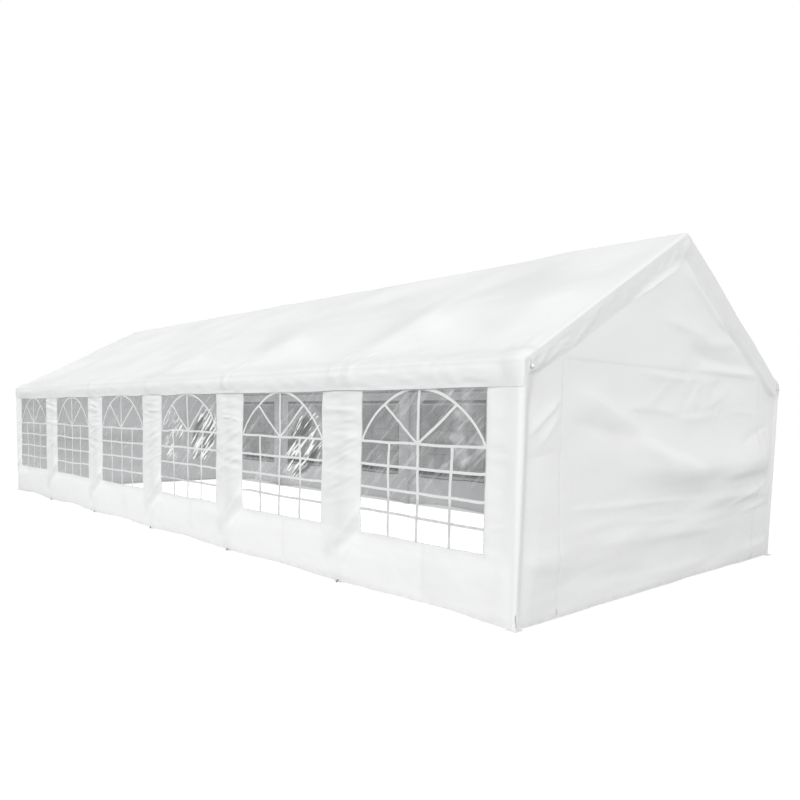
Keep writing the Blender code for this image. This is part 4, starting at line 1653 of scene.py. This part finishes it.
@dataclass
class GableWall:
    """One gable: a sheet from the ground to the rake, with a wide panel between two zips."""

    tent: TentSizes
    finishes: Finishes
    end: End
    seed: int
    plane: float = 0.0262
    reach: float = 2.500
    cell: float = 0.0215
    tape: float = 0.012
    tooth_pitch: float = 0.006

    @property
    def name(self) -> str:
        """The end's word in piece names."""
        return label(self.end)

    def raised(self, y: Array, z: Array) -> Array:
        """Height of the gable's relief: its large folds, the groove beside the corner and fine creasing.

        The far gable has the near one's large folds the other way round and weaker, and its own swells.

        Args:
            y: across the tent.
            z: above the ground.

        Returns:
            Height outwards, 0 along the rake and at the corners.
        """
        tent = self.tent
        way = 1.0 if self.end is End.RIGHT else -1.0
        strength = 1.0 if self.end is End.RIGHT else 0.7
        u = y * way
        along = y + self.seed * 5.0
        large = relief(GABLE_FOLDS, u, z) * strength
        swells = billows(self.seed + 1, along, z, ((1.1, 0.55), 0.013, -0.15), ((0.5, 0.22), 0.006, 0.1))
        packed = smooth(z - 1.55, 0.15) * smooth(2.15 - z, 0.15) * smooth(1.5 - np.abs(u - 0.45) / 0.6)
        creased = Billow(self.seed + 3, (0.14, 0.10), 0.0060, 0.35).at(along, z) * packed
        level = Billow(self.seed + 4, (0.7, 0.07), 0.0028, 0.05).at(along, z) * smooth(1.2 - z, 0.4)
        fine = billows(self.seed + 5, along, z, ((0.13, 0.10), 0.0009), ((0.08, 0.05), 0.0006))
        to_corner = np.abs(tent.half_span - np.abs(y))
        bend = CornerBend()
        corner = bend.bulge(z) * bell(to_corner, 0.055) - bend.groove(to_corner, z)
        under_rake = smooth(tent.rafter_z(y) - 0.02 - z, 0.35)
        edge = smooth(to_corner - 0.02, 0.14)
        total = large + swells + creased + level + fine
        at_zip = bell(np.abs(y) - tent.door_half_width, 0.02)
        return total * edge * (0.08 + 0.92 * under_rake) + corner - 0.002 * at_zip

    def surface(self, y: Array, z: Array) -> Array:
        """How far the sheet lies from the end bent's axis."""
        return self.plane + self.raised(y, z)

    def cloth(self) -> Cloth:
        """Work out the sheet: upright rows to the door's top, then rows that spread to follow the rake."""
        tent = self.tent
        door = tent.door_half_width
        y = steps(-self.reach, -door, 0.0, door, self.reach, cell=self.cell)
        lower = steps(tent.hem_z, tent.door_top_z, cell=self.cell)
        upper = np.linspace(0, 1, 52)[1:]
        top = tent.rafter_z(y) + 0.006
        break_z = np.minimum(tent.door_top_z, top - 0.03)
        share = (lower - tent.hem_z) / (tent.door_top_z - tent.hem_z)
        low_z = tent.hem_z + share[:, None] * (break_z - tent.hem_z)[None, :]
        high_z = break_z[None, :] + upper[:, None] * (top - break_z)[None, :]
        z = np.concatenate([low_z, high_z])
        v = np.concatenate([lower, tent.door_top_z + upper * (tent.ridge_z - tent.door_top_z)])
        across = np.broadcast_to(y[None, :], z.shape)
        out = tent.half_length + self.surface(across, z)
        rise = 0.010 * np.sin(math.pi * (y + tent.half_span) / (2 * tent.half_span)) ** 2
        rise = rise + Billow(self.seed + 9, (0.35, 1.0), 0.004).at(y, 0 * y)
        lifted = z + np.abs(rise)[None, :] * (1 - smooth(z, 0.3))
        points = np.stack([self.end.value * out, across, lifted], axis=-1)
        normal = np.broadcast_to(np.array([float(self.end.value), 0.0, 0.0]), points.shape)
        return Cloth(y, v, points, normal)

    def shade(self, cloth: Cloth) -> Array:
        """Painted shade: more by the corners and under the main fold, and painted light on a slant.

        Args:
            cloth: the gable.

        Returns:
            The tone at each point.
        """
        y, z = cloth.points[..., 1], cloth.points[..., 2]
        to_corner = self.tent.half_span - np.abs(y)
        # Painted shade by the corners, in a band under the main fold, in a low band and at one corner's foot,
        # with painted light on a slant.
        beside = 0.75 * smooth(1.2 - to_corner / (0.030 + 0.060 * z), 0.4) * (z < 2.1)
        across = y if self.end is End.RIGHT else -y
        spread = smooth(across + 0.9, 1.4)
        far = smooth(across - 1.2, 1.2)
        band = 0.7 * spread * bell(z - 0.95 - 0.10 * far, 0.11 + 0.12 * far, 4)
        slant = smooth(across + 1.35, 0.3) * smooth(0.75 - across, 0.4)
        slant = 0.6 * slant * bell(z - 1.50 + 0.22 * (across + 1.17), 0.075)
        low = 0.35 * smooth(across - 0.6, 0.6) * bell(z - 0.66, 0.10)
        corner = 0.30 * smooth(-1.85 - across, 0.3) * smooth(0.45 - z, 0.3)
        return np.maximum(np.maximum(beside, band), np.maximum(low, corner)) - slant

    def build(self) -> None:
        """Make the fixed sheet, the zipped panel, the zips and the bands."""
        tent = self.tent
        cloth = self.cloth()
        middle_y = (cloth.u[:-1] + cloth.u[1:]) / 2
        middle_v = (cloth.v[:-1] + cloth.v[1:]) / 2
        in_door = (np.abs(middle_y) < tent.door_half_width)[None, :] & (middle_v < tent.door_top_z)[:, None]
        outward = (self.end.value, 0, 0)
        uv = np.stack(np.broadcast_arrays(cloth.points[..., 1], cloth.points[..., 2]), axis=-1)
        fixed, panel = Shape(), Shape()
        tone = self.shade(cloth)
        fixed.add_grid(cloth.points, uv=uv, keep=~in_door, outward=outward, tone=tone)
        panel.add_grid(cloth.points, uv=uv, keep=in_door, outward=outward, tone=tone)
        sheet = self.finishes.sheet
        wall = dress(fixed.build(f"gable_sheet_{self.name}"), sheet, SHEET_SLOT, f"gable_wall_{self.name}")
        door = dress(panel.build(f"zip_panel_{self.name}"), sheet, SHEET_SLOT, f"gable_door_{self.name}")
        tapes = dress(self.tapes(cloth).build(f"zip_tapes_{self.name}"), self.finishes.zip_tape, None)
        teeth = self.teeth(cloth).build(f"zip_teeth_{self.name}", flat=True)
        dress(teeth, self.finishes.zip_teeth, None)
        sliders = dress(self.sliders(cloth).build(f"zip_sliders_{self.name}"), self.finishes.ball, None)
        bands = dress(self.bands(cloth).build(f"gable_bands_{self.name}"), sheet, SHEET_SLOT)
        door_width, door_height = 2 * tent.door_half_width, tent.door_top_z - tent.hem_z
        width, height = 2 * self.reach, tent.ridge_z - tent.hem_z
        whole = width * (tent.eave_z - tent.hem_z) + width * (tent.ridge_z - tent.eave_z) / 2
        whole - door_width * door_height
        wall.name

    def zip_paths(self) -> list[Array]:
        """The two zips' lines, from the lower edge to the panel's top."""
        low, high = self.tent.hem_z, self.tent.door_top_z
        edges = (-self.tent.door_half_width, self.tent.door_half_width)
        return [line((y, low), (y, high), self.cell) for y in edges]

    def tapes(self, cloth: Cloth) -> Shape:
        """The woven tapes that carry the teeth."""
        made = Shape()
        for path in self.zip_paths():
            cloth.add_strip(made, path, self.tape, 0.0007)
            cloth.add_strip(made, path, self.tape * 0.3, 0.0011)
        return made

    def teeth(self, cloth: Cloth) -> Shape:
        """Small blocks in two rows that mesh, at the tooth pitch along each zip.

        Args:
            cloth: the gable.

        Returns:
            The teeth.
        """
        made = Shape()
        for path in self.zip_paths():
            places = np.arange(path[0, 1], path[-1, 1], self.tooth_pitch)
            for way in (-1, 1):
                v = places + way * self.tooth_pitch / 4
                v = v[v < path[-1, 1] - self.tooth_pitch]
                u = np.full(v.shape, path[0, 0] + way * 0.0009)
                made.add_blocks(cloth.on(u, v, 0.0010), cloth.on(u, v, 0.0016), (0.0019, 0.0027))
        return made

    def sliders(self, cloth: Cloth) -> Shape:
        """A slider with a pull tab at the lower end of each zip.

        Args:
            cloth: the gable.

        Returns:
            The sliders.
        """
        made = Shape()
        out = np.array([self.end.value, 0.0, 0.0])
        for path in self.zip_paths():
            middle = cloth.on(path[:1, 0], np.array([0.075]), 0.004)
            middle[:, 1] = path[0, 0]
            made.add_blocks(middle - out * 0.002, middle + out * 0.004, (0.007, 0.012))
            middle[:, 2] -= 0.020
            made.add_blocks(middle + out * 0.005, middle + out * 0.0065, (0.0035, 0.026))
        return made

    def bands(self, cloth: Cloth) -> Shape:
        """Doubled bands along the lower edge and over the panel's top.

        Args:
            cloth: the gable.

        Returns:
            The bands.
        """
        made = Shape()
        door, top = self.tent.door_half_width, self.tent.door_top_z
        hem = cloth.v[0] + 0.022
        for low, high in ((-self.reach, -door), (-door, door), (door, self.reach)):
            cloth.add_strip(made, line((low + 0.02, hem), (high - 0.02, hem), self.cell), 0.021, 0.001)
        cloth.add_strip(made, line((-door, top), (door, top), self.cell), 0.016, 0.0011)
        return made


@dataclass
class Fittings:
    """The pegs at the feet, and the elastic loops with their balls at the eave corners."""

    tent: TentSizes
    finishes: Finishes
    ball: float = 0.0145
    elastic: float = 0.0024
    peg: float = 0.009

    def build(self) -> None:
        """Make the pegs, the balls and the loops."""
        dress(self.pegs().build("ground_pegs"), self.finishes.peg, None)
        dress(self.balls().build("elastic_balls"), self.finishes.ball, None)
        dress(self.loops().build("elastic_loops"), self.finishes.ball, None)

    def pegs(self) -> Shape:
        """A bent peg through the outer edge of each middle foot plate: a hooked head over a washer."""
        tent = self.tent
        made = Shape()
        bend = 0.012
        turn = np.linspace(0, math.pi * 0.9, 9)
        for x in tent.bent_xs[1:-1]:
            for side in Side:
                y = side.value * (tent.half_span + 0.058)
                rise = bend * (1 + np.sin(turn))
                hook = np.column_stack([x + bend * (1 - np.cos(turn)), 0 * turn + y, rise])
                shaft = np.array([[x, y, 0.0], [x, y, 0.006]])
                made.add_tube(np.concatenate([shaft, hook]), self.peg / 2, sides=10, aim=(0.0, 1.0, 0.02))
                washer = np.array([[x, y, 0.0005], [x, y, 0.003], [x, y, 0.0035]])
                made.add_tube(washer, 0.013, sides=20, aim=(1.0, 0.0, 0.01))
        return made

    def corners(self) -> list[tuple[int, int]]:
        """The signs of x and y at the four corners."""
        return [(end.value, side.value) for end in End for side in Side]

    def ball_place(self, way_x: int, way_y: int) -> Array:
        """The middle of a corner's ball."""
        tent = self.tent
        x, y = way_x * (tent.half_length + 0.0635), way_y * (tent.half_span - 0.044)
        return np.array([x, y, tent.eave_z - 0.034])

    def balls(self) -> Shape:
        """A round ball at each corner."""
        made = Shape()
        turn = np.linspace(0.02, math.pi - 0.02, 17)
        for corner in self.corners():
            middle = self.ball_place(*corner)
            path = middle + np.column_stack([np.zeros(17), np.zeros(17), self.ball * np.cos(turn)])
            made.add_tube(path, self.ball * np.sin(turn), sides=28, aim=(1.0, 0.02, 0.0))
        return made

    def loops(self) -> Shape:
        """Two strands from each ball up to an eyelet under the rake."""
        tent = self.tent
        made = Shape()
        for way_x, way_y in self.corners():
            start = self.ball_place(way_x, way_y)
            for push in (-0.006, 0.006):
                first = start + (0, push * 0.8, 0.008)
                bend = start + (way_x * 0.001, push * 1.8 + way_y * 0.004, 0.045)
                last = np.array([way_x * (tent.half_length + 0.042), start[1] + way_y * 0.010 + push * 0.4,
                                 start[2] + 0.080])
                t = np.linspace(0, 1, 14)[:, None]
                path = first * (1 - t) ** 2 + 2 * bend * t * (1 - t) + last * t ** 2
                made.add_tube(path, self.elastic, sides=10)
        return made


@dataclass
class Studio:
    """The floor, the world, the lights and the camera."""

    tent: TentSizes
    floor_half: float = 60.0
    camera_place: tuple = (9.18, -6.959, 1.595)
    camera_yaw: float = math.radians(49.53)
    camera_pitch: float = math.radians(-3.95)
    camera_roll: float = math.radians(0.86)
    focal_pixels: float = 718.1
    middle_pixel: Place = (340.0, 465.0)
    picture: float = 800.0
    sensor: float = 36.0
    lamps: tuple = (("front", (-0.15, -0.88, 0.46), 1.2), ("gable", (0.88, -0.30, 0.36), 1.42))
    sky: float = 0.60
    ground_glow: float = 0.40

    def build(self) -> None:
        """Set the scene around the tent."""
        bpy.context.scene.view_settings.view_transform = "Standard"
        self.build_camera()
        self.build_world()
        self.build_floor()
        self.build_lamps()

    def build_camera(self) -> None:
        """Put the camera where the photograph's perspective places it."""
        yaw, pitch, roll = self.camera_yaw, self.camera_pitch, self.camera_roll
        ahead = Vector((-math.sin(yaw) * math.cos(pitch), math.cos(yaw) * math.cos(pitch), math.sin(pitch)))
        right = ahead.cross(Vector((0, 0, 1))).normalized()
        up = right.cross(ahead)
        level_right = right * math.cos(roll) + up * math.sin(roll)
        level_up = up * math.cos(roll) - right * math.sin(roll)
        data = bpy.data.cameras.new("camera")
        data.sensor_width = self.sensor
        data.lens = self.focal_pixels * self.sensor / self.picture
        data.shift_x = (self.picture / 2 - self.middle_pixel[0]) / self.picture
        data.shift_y = (self.middle_pixel[1] - self.picture / 2) / self.picture
        camera = bpy.data.objects.new("camera", data)
        turn = Matrix((level_right, level_up, -ahead)).transposed().to_4x4()
        camera.matrix_world = Matrix.Translation(self.camera_place) @ turn
        bpy.context.scene.collection.objects.link(camera)
        bpy.context.scene.camera = camera

    def build_world(self) -> None:
        """White behind the tent, and a softer even light on it."""
        world = bpy.data.worlds.new("studio")
        bpy.context.scene.world = world
        graph = Graph(world)
        seen = graph.node("ShaderNodeLightPath").outputs["Is Camera Ray"]
        lit = graph.node("ShaderNodeBackground", None, {"Color": (1, 1, 1, 1), "Strength": self.sky})
        white = graph.node("ShaderNodeBackground", None, {"Color": (1, 1, 1, 1), "Strength": 1.0})
        graph.surface(graph.blended(seen, lit, white))

    def build_floor(self) -> None:
        """A level white floor that also glows under the tent, so that it reads white through the film."""
        tent = self.tent
        shape = Shape()
        side = np.array([-self.floor_half, self.floor_half])
        x, y = np.meshgrid(side, side)
        shape.add_grid(np.stack([x, y, 0 * x - 0.0005], axis=-1), outward=(0, 0, 1))
        floor = shape.build("floor")
        material = bpy.data.materials.new("floor")
        graph = Graph(material)
        x, y, _ = graph.parts(graph.place())
        inside = abs(x).smooth(tent.half_length, tent.half_length - 0.05)
        inside = inside * abs(y).smooth(tent.half_span, tent.half_span - 0.05)
        seen = graph.node("ShaderNodeLightPath").outputs["Is Camera Ray"]
        white = graph.node("ShaderNodeEmission", None, {"Strength": inside.smooth(0, 1, 0.92, 2.1)})
        within = x.smooth(3.0, -5.0, 0.72, 1.15)
        by_gable = x.smooth(8.8, 6.2) * abs(y).smooth(5.0, 2.6) * y.smooth(-2.0, 2.5, 0.55, 1.0)
        by_front = y.smooth(-4.4, -2.7) * abs(x).smooth(6.4, 5.4) * x.smooth(-5.5, 0.5)
        outside = self.ground_glow * (1 - 0.6 * by_gable * x.smooth(5.9, 6.1))
        outside = outside * x.smooth(-6.5, -1.5, 0.75, 1.0) + 0.12 * by_front
        glow = inside * (within - outside) + outside
        glow = graph.node("ShaderNodeEmission", None, {"Strength": glow})
        matt = graph.node("ShaderNodeBsdfDiffuse", None, {"Color": (0.12, 0.12, 0.12, 1)})
        inputs = {0: graph.blended(seen, glow, white).outputs[0], 1: matt.outputs[0]}
        graph.surface(graph.node("ShaderNodeAddShader", None, inputs))
        floor.data.materials.append(material)

    def build_lamps(self) -> None:
        """Two wide soft lamps, one for the long front and one for the near gable, that rake the folds."""
        for name, place, strength in self.lamps:
            data = bpy.data.lights.new(name, "SUN")
            data.energy = strength
            data.angle = math.radians(28)
            lamp = bpy.data.objects.new(name, data)
            lamp.rotation_mode = "QUATERNION"
            lamp.rotation_quaternion = Vector(place).to_track_quat("Z", "Y")
            bpy.context.scene.collection.objects.link(lamp)


def main() -> None:
    """Build every sub-assembly in order."""
    logging.basicConfig(level=logging.INFO, format="%(name)s: %(message)s")
    tent = TentSizes.from_frame()
    finishes = Finishes()
    Studio(tent).build()
    seeds = {End.RIGHT: 500, End.LEFT: 700}
    gables = {end.value: GableWall(tent, finishes, end, seed) for end, seed in seeds.items()}
    RoofCover(tent, finishes, gables).build()
    for side, seed in ((Side.FRONT, 100), (Side.BACK, 300)):
        WindowWall(tent, finishes, gables, side, seed).build()
    for gable in gables.values():
        gable.build()
    Fittings(tent, finishes).build()
    for name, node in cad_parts.items():
        if name.startswith(("leg_", "rafter_", "ridge_", "eave_", "mid_")):
            node.data.materials.clear()
            node.data.materials.append(finishes.steel)


if __name__ == "__main__":
    main()
